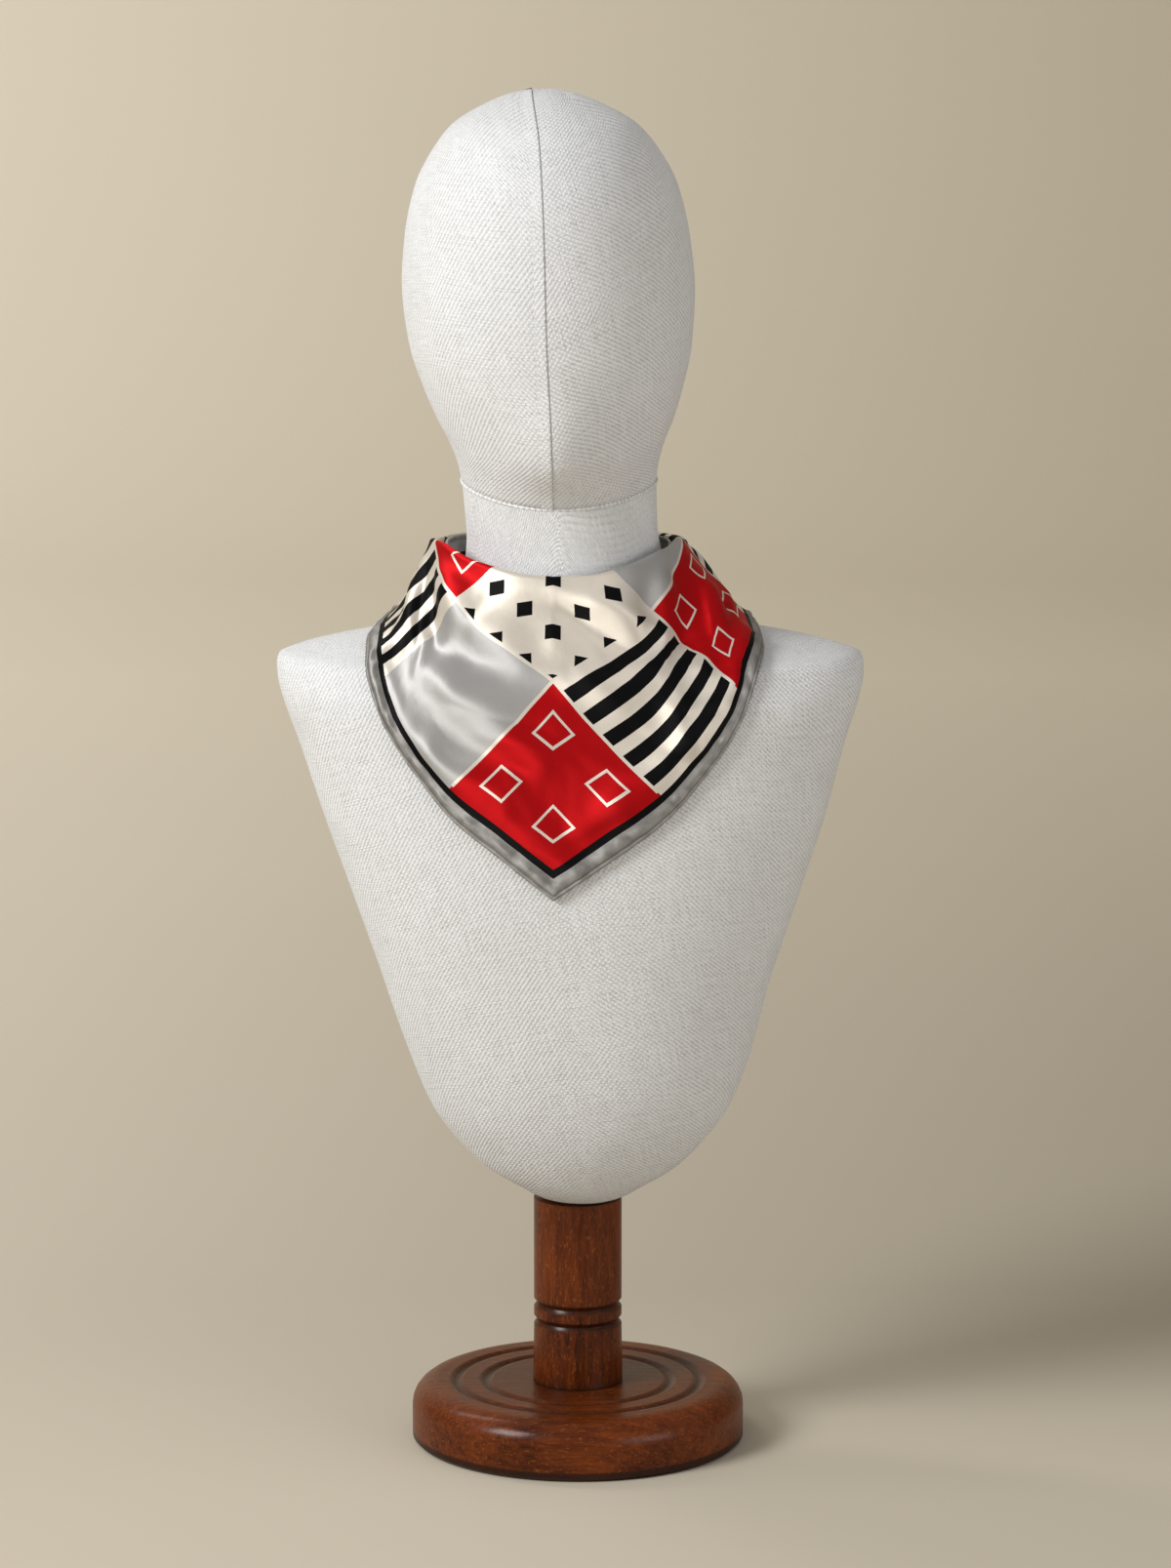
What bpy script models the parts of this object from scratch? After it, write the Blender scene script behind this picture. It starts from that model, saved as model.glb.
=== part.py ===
"""A silk neck bandana tied round a linen head-and-bust form on a turned wooden stand.

Metres, +Z up, the form faces -Y. The origin is the centre of the stand's underside.
The tables hold millimetres, because a maker would read them so. MM turns them into metres.
"""
import math

import bpy
import numpy as np

MM = 0.001
SEAM_GAP = 0.3                  # between two pieces that touch

# Wooden stand
BASE_RADIUS = 90.0
BASE_HEIGHT = 31.5
BASE_EDGE_ROUND = 13.0
BASE_FOOT_BEVEL = 2.0
RING_GROOVES = (50.0, 66.0)     # radii of the two grooves turned in the top
RING_GROOVE_WIDTH = 6.0
RING_GROOVE_DEPTH = 1.6
POST_RADIUS = 23.8
POST_FLARE = 0.5                # how much wider the post is at its foot
POST_GROOVES = (75.2, 65.8)     # heights of the two grooves turned in the post
POST_GROOVE_WIDTH = 5.0
POST_GROOVE_DEPTH = 1.6

# Display form
BODY_FOOT = 134.0               # height of the bust's flat bottom
SEAM_HIGH = 526.5               # height of the neck seam at the nape
SEAM_DIP = 10.5                 # how far it dips below the chin
SEAM_REACH = 28.0               # how far above and below the seam the rings follow its dip
CROWN = 730.4

SECTION = ("height", "half_width", "half_depth", "middle", "squareness")
BODY = (
    (134.0, 19.0, 19.0, 0.0, 2.00),
    (137.0, 26.0, 26.0, -1.0, 2.00),
    (142.0, 34.0, 34.0, -1.5, 2.00),
    (153.0, 52.0, 43.5, -2.5, 2.00),
    (164.0, 63.5, 51.0, -3.0, 2.00),
    (186.0, 79.6, 61.0, -4.0, 2.10),
    (207.0, 88.5, 67.0, -5.0, 2.15),
    (261.0, 105.0, 75.5, -6.5, 2.20),
    (304.0, 119.3, 79.5, -7.5, 2.25),
    (346.0, 133.4, 81.5, -7.5, 2.30),
    (389.0, 146.0, 80.0, -7.0, 2.35),
    (410.0, 153.0, 77.0, -7.0, 2.40),
    (422.0, 155.6, 74.0, -6.8, 2.25),
    (428.0, 155.8, 72.0, -6.5, 2.15),
    (432.5, 154.7, 69.8, -6.5, 2.05),
    (435.6, 148.5, 68.3, -6.5, 1.90),
    (438.8, 139.0, 67.0, -6.5, 1.75),
    (442.0, 126.5, 66.0, -6.5, 1.60),
    (447.0, 100.0, 64.8, -6.5, 1.45),
    (452.0, 83.0, 63.6, -6.8, 1.50),
    (459.0, 70.0, 61.8, -6.8, 1.65),
    (467.0, 61.0, 59.8, -7.0, 1.85),
    (476.0, 55.0, 58.0, -7.0, 2.00),
    (486.0, 52.0, 56.8, -7.0, 2.00),
    (500.0, 50.6, 56.0, -7.0, 2.00),
    (526.5, 51.3, 56.0, -7.0, 2.00),
)
HEAD = (
    (526.5, 51.3, 56.0, -7.0, 2.00),
    (535.0, 52.8, 61.5, -7.5, 2.00),
    (546.0, 56.3, 69.2, -8.8, 2.00),
    (560.0, 62.8, 78.0, -9.0, 2.00),
    (577.0, 69.0, 87.2, -8.3, 2.00),
    (597.0, 74.3, 93.8, -6.8, 2.00),
    (628.0, 77.0, 97.5, -4.0, 2.00),
    (652.0, 75.1, 96.0, -3.0, 2.00),
    (680.0, 69.0, 90.0, -3.0, 2.00),
    (700.0, 58.5, 77.5, -4.0, 2.00),
    (712.0, 48.5, 64.0, -4.5, 2.00),
    (722.0, 32.0, 43.0, -5.0, 2.00),
    (CROWN, 0.0, 0.0, -5.0, 2.00),
)
# The chin swells out of the head's sections
CHIN_OUT = 13.0
CHIN_HIGH = 549.0               # height of its middle
CHIN_BELOW = 13.0               # reach down
CHIN_ABOVE = 24.0               # up
CHIN_WIDE = 25.0                # and to each side
# The form's centre line leans a little to its right, more at the neck than in the bust
LEAN = (
    (134.0, 2.0), (207.0, 1.6), (250.0, -0.2), (336.0, -1.3), (389.0, -3.0), (447.0, -4.5),
    (504.0, -8.5), (546.0, -10.8), (608.0, -14.7), (649.0, -15.8), (700.0, -16.6), (CROWN, -18.0),
)
BODY_RINGS = 27
HEAD_RINGS = 22
RING_CROWDING = 1.3             # how much closer the head's rings stand under the chin
BODY_SIDES = 48
HEAD_SIDES = 40

# Bandana
CLOTH = 1.2                     # wall
CLOTH_LIFT = 1.1                # between the wall and the form it lies on
HEM_LIFT = 0.8                  # and at its hem
ROLL = 2.3                      # outer radius of the top fold
TURN_IN = 15.0                  # stretch behind the top fold
SOFTEN = 3.0                    # how gently the cloth parts from the form
NECK_MIDDLE = -7.0              # depth of the neck's axis
TOP_EASE = 0.12                 # share of the drape below the top fold in which the folds fade in
HEM_EASE = 0.10                 # and above the hem, in which they fade out

STATION = ("along", "neck_x", "neck_y", "neck_z", "hem_x", "hem_y", "hem_z", "belly")
# Rows run from the corner at the front round one side to the nape. "along" is measured on the top fold.
FRONT_LEFT = (
    (0.0, -5.7, -71.0, 480.2, -11.5, -89.2, 315.3, 0.0),
    (19.0, -24.3, -68.0, 481.8, -39.5, -88.0, 338.0, 0.0),
    (36.0, -39.4, -61.0, 485.0, -64.0, -84.0, 358.0, 0.5),
    (49.0, -49.5, -53.0, 487.5, -78.5, -80.0, 376.5, 0.0),
    (60.0, -57.0, -44.0, 490.5, -90.0, -76.5, 393.0, -1.5),
    (73.0, -63.0, -33.0, 493.0, -100.0, -72.0, 412.5, -3.5),
    (88.0, -68.0, -19.0, 493.2, -106.0, -62.0, 434.0, -5.5),
    (103.0, -69.0, -4.0, 490.5, -106.0, -38.0, 443.5, -6.5),
    (121.0, -67.5, 14.0, 488.5, -100.5, -11.8, 448.3, -6.0),
    (138.0, -62.5, 31.0, 488.0, -92.0, 13.0, 451.0, -4.0),
    (156.0, -54.0, 46.0, 487.5, -76.0, 36.0, 454.5, -1.0),
    (172.0, -42.0, 56.0, 487.0, -56.0, 53.0, 460.5, 0.0),
    (198.0, -16.5, 65.5, 484.0, -16.5, 67.0, 474.0, 0.0),
)
FRONT_RIGHT = (
    (0.0, -5.7, -71.0, 480.2, -11.5, -89.2, 315.3, 0.0),
    (17.0, 11.1, -71.0, 480.8, 15.0, -90.2, 333.5, 0.0),
    (40.0, 31.6, -62.0, 484.5, 49.0, -87.2, 358.0, 0.5),
    (55.0, 42.1, -52.0, 487.2, 66.5, -83.4, 376.7, 0.0),
    (69.0, 50.6, -41.0, 489.8, 81.0, -79.5, 395.3, 0.0),
    (79.0, 55.2, -31.0, 490.3, 89.3, -76.0, 409.7, -0.5),
    (94.0, 60.3, -17.0, 492.8, 97.6, -67.5, 431.5, -1.0),
    (106.0, 62.5, -5.0, 490.5, 101.4, -47.4, 442.0, -1.5),
    (124.0, 64.0, 12.0, 488.5, 100.0, -21.0, 447.2, -1.5),
    (142.0, 61.0, 30.0, 488.0, 92.0, 8.0, 450.5, 0.0),
    (158.0, 54.0, 44.0, 487.5, 78.0, 31.0, 454.0, 0.0),
    (174.0, 42.0, 55.0, 487.0, 57.0, 51.0, 460.5, 0.0),
    (198.0, 16.5, 65.5, 484.0, 16.5, 67.0, 474.0, 0.0),
)
FRONT_COLUMNS = 32              # on each side
FRONT_ROWS = 16
ROLL_STEPS = 4

FOLD = ("from_x", "from_y", "to_x", "to_y", "half_width", "height")
# In flat cloth, measured from the hanging corner. Negative heights are troughs.
FOLDS = (
    (2.0, 158.0, 34.0, 138.0, 7.0, -2.8),
    (4.0, 133.0, 27.0, 112.0, 9.0, 2.0),
    (-44.0, 99.0, -12.0, 84.0, 8.0, -2.4),
    (-46.0, 116.0, -3.0, 98.0, 9.0, 1.8),
    (-70.0, 172.0, -66.0, 140.0, 7.0, -2.2),
    (-50.0, 168.0, -52.0, 137.0, 8.0, 1.6),
    (-90.0, 176.0, -92.0, 136.0, 7.0, 1.8),
    (33.0, 168.0, 40.0, 127.0, 9.0, 2.4),
    (70.0, 182.0, 66.0, 130.0, 8.0, -2.6),
    (104.0, 174.0, 96.0, 132.0, 8.0, 2.0),
    (120.0, 140.0, 70.0, 95.0, 7.0, 3.2),
    (-72.0, 92.0, -36.0, 56.0, 8.0, 2.0),
    (30.0, 60.0, 14.0, 40.0, 6.0, 1.5),
    (0.0, 38.0, 2.0, 62.0, 5.0, -1.2),
    (-128.0, 196.0, -122.0, 165.0, 7.0, 1.8),
    (-150.0, 200.0, -146.0, 176.0, 6.0, -1.5),
    (-176.0, 206.0, -172.0, 188.0, 7.0, 1.4),
    (130.0, 198.0, 126.0, 165.0, 7.0, 1.8),
    (152.0, 206.0, 150.0, 180.0, 6.0, -1.5),
    (176.0, 210.0, 174.0, 192.0, 7.0, 1.4),
)

BAND = ("x", "y", "top", "bottom")
NAPE_LEFT = (
    (-63.0, -8.0, 487.5, 466.0),
    (-62.0, 10.0, 490.5, 464.0),
    (-57.0, 21.0, 491.0, 462.0),
    (-50.0, 33.0, 490.2, 460.0),
    (-41.0, 43.0, 489.4, 459.0),
    (-28.0, 51.5, 488.8, 459.0),
    (-14.0, 56.5, 488.0, 461.0),
    (-0.3, 58.0, 487.5, 463.0),
)
NAPE_RIGHT = (
    (57.0, -4.0, 487.0, 468.0),
    (57.0, 8.0, 489.5, 466.0),
    (55.0, 20.0, 490.0, 464.0),
    (49.5, 32.0, 489.6, 462.0),
    (41.0, 43.0, 489.2, 459.0),
    (28.0, 51.5, 488.8, 459.0),
    (14.0, 56.5, 488.0, 461.0),
    (0.3, 58.0, 487.5, 463.0),
)
BAND_COLUMNS = 16
BAND_ROWS = 4

KNOT_CENTRE = (0.0, 68.5, 475.0)
KNOT_HALF = (14.0, 9.9, 12.5)
KNOT_SQUARENESS = 2.6
KNOT_SIDES = 20

TAIL = ("x", "y", "z", "half_width")
TAIL_LEFT = (
    (-6.0, 69.0, 462.3, 5.0),
    (-11.0, 70.0, 448.0, 9.5),
    (-18.0, 68.0, 428.0, 12.5),
    (-26.0, 70.0, 408.0, 10.0),
    (-33.0, 72.0, 388.0, 0.8),
)
TAIL_RIGHT = (
    (6.0, 69.0, 462.3, 5.0),
    (10.0, 70.0, 450.0, 9.0),
    (16.0, 68.0, 434.0, 12.0),
    (25.0, 69.0, 418.0, 10.5),
    (35.0, 70.0, 401.0, 0.8),
)
TAIL_COLUMNS = 4
TAIL_ROWS = 10


def column(rows, names, name):
    """One named column of a table."""
    return np.array([row[names.index(name)] for row in rows], dtype=float)


def slopes(xs, ys):
    """Slopes that let a cubic pass through the points with no overshoot."""
    steps = np.diff(xs)
    rises = np.diff(ys) / steps
    result = np.zeros(len(xs))
    result[0], result[-1] = rises[0], rises[-1]
    for i in range(1, len(xs) - 1):
        if rises[i - 1] * rises[i] > 0.0:
            before = 2.0 * steps[i] + steps[i - 1]
            after = steps[i] + 2.0 * steps[i - 1]
            result[i] = (before + after) / (before / rises[i - 1] + after / rises[i])
    return result


def smooth(xs, ys, x):
    """The value at x on a smooth curve through the points."""
    x = np.clip(np.asarray(x, dtype=float), xs[0], xs[-1])
    i = np.clip(np.searchsorted(xs, x, side="right") - 1, 0, len(xs) - 2)
    step = xs[i + 1] - xs[i]
    t = (x - xs[i]) / step
    m = slopes(xs, ys)
    return ((2 * t**3 - 3 * t**2 + 1) * ys[i] + (t**3 - 2 * t**2 + t) * step * m[i]
            + (3 * t**2 - 2 * t**3) * ys[i + 1] + (t**3 - t**2) * step * m[i + 1])


def lean(height):
    """How far the form's centre line stands to the side at a height."""
    table = np.array(LEAN)
    return smooth(table[:, 0], table[:, 1], height)


def section(rows, height):
    """Half width, half depth, middle and squareness of the form at a height."""
    heights = column(rows, SECTION, "height")
    half_width = np.sqrt(smooth(heights, column(rows, SECTION, "half_width")**2, height))
    half_depth = np.sqrt(smooth(heights, column(rows, SECTION, "half_depth")**2, height))
    middle = smooth(heights, column(rows, SECTION, "middle"), height)
    squareness = smooth(heights, column(rows, SECTION, "squareness"), height)
    return half_width, half_depth, middle, squareness


def seam_dip(angle, height):
    """How far a ring sinks towards the front, so that the rings follow the neck seam."""
    front = ((1.0 - np.sin(angle)) / 2.0)**3
    return SEAM_DIP * front * np.exp(-((height - SEAM_HIGH) / SEAM_REACH)**2)


def chin(across, height):
    """How far the chin stands out at a distance from the form's centre line."""
    tall = np.where(height < CHIN_HIGH, CHIN_BELOW, CHIN_ABOVE)
    return CHIN_OUT * np.exp(-(across / CHIN_WIDE)**2 - ((height - CHIN_HIGH) / tall)**2)


def form_ring(rows, height, sides, shift=0.0):
    """One ring of the form, as points in millimetres."""
    angle = np.arange(sides) * 2.0 * math.pi / sides
    half_width, half_depth, middle, squareness = section(rows, height)
    power = 2.0 / squareness
    x = half_width * np.sign(np.cos(angle)) * np.abs(np.cos(angle))**power
    y = middle + half_depth * np.sign(np.sin(angle)) * np.abs(np.sin(angle))**power
    y -= chin(x, height) * (np.sin(angle) < 0.0)
    z = height - seam_dip(angle, height) + shift
    return np.column_stack((x + lean(height), y, z))


def outside(points):
    """Signed distance of points from the bust and neck, and the direction away from them."""
    def level(p):
        half_width, half_depth, middle, n = section(BODY, p[:, 2])
        across = np.abs((p[:, 0] - lean(p[:, 2])) / half_width)**n
        deep = np.abs((p[:, 1] - middle) / half_depth)**n
        return (across + deep)**(1.0 / n)

    step = 0.05
    value = level(points)
    slope = np.empty_like(points)
    for axis in range(3):
        moved = np.zeros(3)
        moved[axis] = step
        slope[:, axis] = (level(points + moved) - level(points - moved)) / (2.0 * step)
    steepness = np.linalg.norm(slope, axis=1)
    return (value - 1.0) / steepness, slope / steepness[:, None]


def clear_of_form(points, lift, soften=0.0):
    """Points moved out so that they lie at least `lift` from the bust and neck."""
    shape = points.shape
    points = points.reshape(-1, 3).copy()
    for _ in range(4):
        distance, away = outside(points)
        spare = distance - lift
        wanted = 0.5 * (spare + np.sqrt(spare**2 + soften**2)) if soften else np.maximum(spare, 0.0)
        points += away * (wanted - spare)[:, None]
        soften = 0.0
    return points.reshape(shape)


def mesh_object(name, points, faces, material, collection):
    """A smooth shaded object from points in millimetres and its faces."""
    mesh = bpy.data.meshes.new(name)
    mesh.from_pydata([tuple(p * MM) for p in np.asarray(points)], [], faces)
    mesh.materials.append(material)
    mesh.validate()
    mesh.shade_smooth()
    obj = bpy.data.objects.new(name, mesh)
    collection.objects.link(obj)
    return obj


def loft(name, rings, low_cap, high_cap, material, collection):
    """A closed body through rings that run upwards, closed by a point below and above."""
    sides = len(rings[0])
    points = np.vstack(rings + [low_cap, high_cap])
    faces = []
    for k in range(len(rings) - 1):
        for i in range(sides):
            j = (i + 1) % sides
            faces.append((k * sides + i, k * sides + j, (k + 1) * sides + j, (k + 1) * sides + i))
    low, high, top = len(points) - 2, len(points) - 1, (len(rings) - 1) * sides
    for i in range(sides):
        j = (i + 1) % sides
        faces.append((low, j, i))
        faces.append((high, top + i, top + j))
    return mesh_object(name, points, faces, material, collection)


def wall(name, grid, material, collection):
    """A cloth wall: a grid of outer points with Solidify growing inwards."""
    rows, columns = grid.shape[:2]
    faces = [(r * columns + c, (r + 1) * columns + c, (r + 1) * columns + c + 1, r * columns + c + 1)
             for r in range(rows - 1) for c in range(columns - 1)]
    obj = mesh_object(name, grid.reshape(-1, 3), faces, material, collection)
    solid = obj.modifiers.new("wall", "SOLIDIFY")
    solid.thickness = CLOTH * MM
    solid.offset = -1.0
    solid.use_quality_normals = True
    return obj


def turned(name, profile, steps, material, collection):
    """A turned piece from a profile of (radius, height) points, top to bottom."""
    mesh = bpy.data.meshes.new(name)
    points = [(r * MM, 0.0, z * MM) for r, z in profile]
    mesh.from_pydata(points, [(i, i + 1) for i in range(len(points) - 1)], [])
    mesh.materials.append(material)
    obj = bpy.data.objects.new(name, mesh)
    collection.objects.link(obj)
    screw = obj.modifiers.new("turning", "SCREW")
    screw.steps = screw.render_steps = steps
    screw.use_merge_vertices = True
    screw.merge_threshold = 0.00001
    screw.use_smooth_shade = True
    return obj


def material(name, colour, roughness):
    """A plain finish for the solids."""
    result = bpy.data.materials.new(name)
    result.use_nodes = True
    shader = result.node_tree.nodes["Principled BSDF"]
    shader.inputs["Base Color"].default_value = (*colour, 1.0)
    shader.inputs["Roughness"].default_value = roughness
    result.diffuse_color = (*colour, 1.0)
    return result


def groove(radius, height, width, depth, steps=4):
    """Points of a round groove across a flat top, from its inner to its outer lip."""
    return [(radius + width * (i / steps - 0.5), height - depth * math.sin(math.pi * i / steps))
            for i in range(steps + 1)]


def base_profile():
    """The disc: a flat top with two grooves, a rounded edge and a small bevel at the foot."""
    profile = [(0.0, BASE_HEIGHT)]
    for radius in RING_GROOVES:
        profile += groove(radius, BASE_HEIGHT, RING_GROOVE_WIDTH, RING_GROOVE_DEPTH)
    for i in range(7):
        turn = math.radians(15.0 * i)
        profile.append((BASE_RADIUS - BASE_EDGE_ROUND * (1.0 - math.sin(turn)),
                        BASE_HEIGHT - BASE_EDGE_ROUND * (1.0 - math.cos(turn))))
    profile += [(BASE_RADIUS, BASE_FOOT_BEVEL), (BASE_RADIUS - BASE_FOOT_BEVEL, 0.0), (0.0, 0.0)]
    return profile


def post_profile():
    """The post: plain turning with two grooves and the bead that they leave."""
    top, foot = BODY_FOOT - SEAM_GAP, BASE_HEIGHT + SEAM_GAP
    profile = [(0.0, top), (POST_RADIUS, top)]
    for height in POST_GROOVES:
        profile += [(POST_RADIUS - z, height - r) for r, z in
                    groove(0.0, 0.0, POST_GROOVE_WIDTH, -POST_GROOVE_DEPTH)]
    profile += [(POST_RADIUS + POST_FLARE, foot), (0.0, foot)]
    return profile


def build_body(material_slot, collection):
    """Bust, shoulders and neck in one loft."""
    heights = column(BODY, SECTION, "height")
    heights = np.interp(np.linspace(0, len(heights) - 1, BODY_RINGS), np.arange(len(heights)), heights)
    rings = [form_ring(BODY, h, BODY_SIDES) for h in heights[:-1]]
    rings.append(form_ring(BODY, heights[-1], BODY_SIDES, -SEAM_GAP / 2.0))
    low, high = rings[0].mean(axis=0), rings[-1].mean(axis=0)
    return loft("form_body", rings, low, high, material_slot, collection)


def build_head(material_slot, collection):
    """The faceless head, from the neck seam to the crown."""
    turn = math.pi / 2.0 * np.linspace(0.0, 1.0, HEAD_RINGS + 1)[:-1]**RING_CROWDING
    heights = SEAM_HIGH + (CROWN - SEAM_HIGH) * np.sin(turn)
    rings = [form_ring(HEAD, h, HEAD_SIDES) for h in heights]
    rings[0] = form_ring(HEAD, SEAM_HIGH, HEAD_SIDES, SEAM_GAP / 2.0)
    low = rings[0].mean(axis=0)
    high = np.array([lean(CROWN), HEAD[-1][3], CROWN])
    return loft("form_head", rings, low, high, material_slot, collection)


def lay(rows, names, triple, along, positions):
    """A smooth run of points through three columns of a table."""
    points = np.column_stack([smooth(along, column(rows, names, name), positions) for name in triple])
    points[:, 0] += lean(points[:, 2])
    return points


def front_side(rows, columns):
    """Top fold and hem of one side of the front, with the belly of each column."""
    along = column(rows, STATION, "along")
    positions = np.linspace(0.0, along[-1], columns + 1)
    neck = lay(rows, STATION, ("neck_x", "neck_y", "neck_z"), along, positions)
    hem = lay(rows, STATION, ("hem_x", "hem_y", "hem_z"), along, positions)
    belly = smooth(along, column(rows, STATION, "belly"), positions)
    return neck, hem, belly


def arc_length(points):
    """Distance along a run of points."""
    return np.concatenate(([0.0], np.cumsum(np.linalg.norm(np.diff(points, axis=0), axis=1))))


def fold_height(flat):
    """Height of all folds at points of the flat cloth."""
    height = np.zeros(flat.shape[:-1])
    for x0, y0, x1, y1, half_width, rise in FOLDS:
        run = np.array((x1 - x0, y1 - y0))
        length = np.linalg.norm(run)
        run /= length
        rel = flat - np.array((x0, y0))
        on = rel @ run
        across = rel @ np.array((-run[1], run[0]))
        past = np.maximum(np.maximum(-on, on - length), 0.0)
        height += rise * np.exp(-(across / half_width)**2 - (past / (1.3 * half_width))**2)
    return height


def grid_normals(grid):
    """Unit normals of a grid of points."""
    down = np.gradient(grid, axis=0)
    side = np.gradient(grid, axis=1)
    normal = np.cross(down, side)
    return normal / np.linalg.norm(normal, axis=-1, keepdims=True)


def unroll(neck, hem):
    """Flat places of one side's top fold and hem, laid out column by column from the corner."""
    hem_flat = arc_length(hem)[:, None] / math.sqrt(2.0) * np.ones(2)
    drop = np.linalg.norm(neck - hem, axis=1)
    neck_flat = [np.array((0.0, drop[0]))]
    for k in range(1, len(neck)):
        step = np.linalg.norm(neck[k] - neck[k - 1])
        gap = hem_flat[k] - neck_flat[-1]
        span = np.linalg.norm(gap)
        along = (step**2 - drop[k]**2 + span**2) / (2.0 * span)
        aside = math.sqrt(max(step**2 - along**2, 0.0))
        gap /= span
        neck_flat.append(neck_flat[-1] + along * gap + aside * np.array((-gap[1], gap[0])))
    return np.array(neck_flat), hem_flat


def joined(left, right):
    """One run from the left end over the front to the right end."""
    return np.concatenate((left[::-1], right[1:]))


def front_grid():
    """Outer points of the front: turned-in stretch, top fold, drape down to the hem."""
    left = front_side(FRONT_LEFT, FRONT_COLUMNS)
    right = front_side(FRONT_RIGHT, FRONT_COLUMNS)
    neck, hem, belly = (joined(a, b) for a, b in zip(left, right))
    hem = clear_of_form(hem, HEM_LIFT + CLOTH)
    mirrored = np.array((-1.0, 1.0))
    left_flat = unroll(neck[FRONT_COLUMNS::-1], hem[FRONT_COLUMNS::-1])
    right_flat = unroll(neck[FRONT_COLUMNS:], hem[FRONT_COLUMNS:])
    neck_flat, hem_flat = (joined(a * mirrored, b) for a, b in zip(left_flat, right_flat))
    out = neck - np.column_stack((lean(neck[:, 2]), np.full(len(neck), NECK_MIDDLE), neck[:, 2]))
    out /= np.linalg.norm(out, axis=1)[:, None]
    up = np.array((0.0, 0.0, 1.0))
    rows = [neck - out * ROLL - up * depth for depth in (TURN_IN, TURN_IN / 2.0)]
    for step in range(ROLL_STEPS + 1):
        turn = math.pi * (1.0 - step / ROLL_STEPS)
        rows.append(neck + ROLL * (math.cos(turn) * out + math.sin(turn) * up))
    start = rows[-1]
    first = len(rows)
    share = np.arange(1, FRONT_ROWS + 1) / FRONT_ROWS
    for v in share:
        rows.append(start + (hem - start) * v + out * (belly * math.sin(math.pi * v))[:, None])
    grid = np.array(rows)
    drape = clear_of_form(grid[first:], CLOTH_LIFT + CLOTH, SOFTEN)
    grid[first:] = drape
    flat = neck_flat + (hem_flat - neck_flat) * share[:, None, None]
    ease = np.clip(np.minimum(share / TOP_EASE, (1.0 - share) / HEM_EASE), 0.0, 1.0)
    rise = fold_height(flat) * (ease * ease * (3.0 - 2.0 * ease))[:, None]
    raised = drape + grid_normals(grid)[first:] * rise[..., None]
    grid[first:-1] = clear_of_form(raised[:-1], CLOTH_LIFT + CLOTH)
    grid[-1] = hem
    return grid, flat


def build_front(material_slot, collection):
    """The front drape with its top fold."""
    return wall("bandana_front", front_grid()[0], material_slot, collection)


def build_nape(name, rows, material_slot, collection):
    """One end of the square running round the back of the neck."""
    spine = np.column_stack([column(rows, BAND, name_) for name_ in ("x", "y")])
    along = arc_length(spine)
    positions = np.linspace(0.0, along[-1], BAND_COLUMNS + 1)
    x, y, top, bottom = (smooth(along, column(rows, BAND, n), positions) for n in BAND)
    share = np.linspace(0.0, 1.0, BAND_ROWS + 1)[:, None]
    z = top + (bottom - top) * share
    shift = lean(z)
    grid = np.stack((x + shift, y + 0.0 * z, z), axis=-1)
    if x[0] < 0.0:
        grid = grid[:, ::-1]
    grid = clear_of_form(grid, CLOTH_LIFT + CLOTH)
    return wall(name, grid, material_slot, collection)


def build_knot(material_slot, collection):
    """The knot: a soft lump pressed against the two ends."""
    centre = np.array(KNOT_CENTRE) + np.array((lean(KNOT_CENTRE[2]), 0.0, 0.0))
    power = 2.0 / KNOT_SQUARENESS
    rings = []
    angle = np.arange(KNOT_SIDES) * 2.0 * math.pi / KNOT_SIDES
    for k in range(1, KNOT_SIDES // 2):
        tilt = math.pi * (k / (KNOT_SIDES // 2) - 0.5)
        flat, high = abs(math.cos(tilt))**power, math.copysign(abs(math.sin(tilt))**power, tilt)
        x = KNOT_HALF[0] * flat * np.sign(np.cos(angle)) * np.abs(np.cos(angle))**power
        y = KNOT_HALF[1] * flat * np.sign(np.sin(angle)) * np.abs(np.sin(angle))**power
        rings.append(np.column_stack((x, y, np.full_like(x, KNOT_HALF[2] * high))) + centre)
    reach = np.array((0.0, 0.0, KNOT_HALF[2]))
    return loft("bandana_knot", rings, centre - reach, centre + reach, material_slot, collection)


def build_tail(name, rows, material_slot, collection):
    """One free corner of the square below the knot."""
    spine = np.column_stack([column(rows, TAIL, n) for n in ("x", "y", "z")])
    along = arc_length(spine)
    positions = np.linspace(0.0, along[-1], TAIL_ROWS + 1)
    x, y, z, half_width = (smooth(along, column(rows, TAIL, n), positions) for n in TAIL)
    share = np.linspace(1.0, -1.0, TAIL_COLUMNS + 1)[None, :]
    grid = np.stack((x[:, None] + lean(z)[:, None] + half_width[:, None] * share,
                     y[:, None] + 0.0 * share, z[:, None] + 0.0 * share), axis=-1)
    grid = clear_of_form(grid, CLOTH_LIFT + CLOTH)
    return wall(name, grid, material_slot, collection)


def clear_scene():
    """Remove whatever the opened file holds."""
    for obj in list(bpy.data.objects):
        bpy.data.objects.remove(obj, do_unlink=True)


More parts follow.
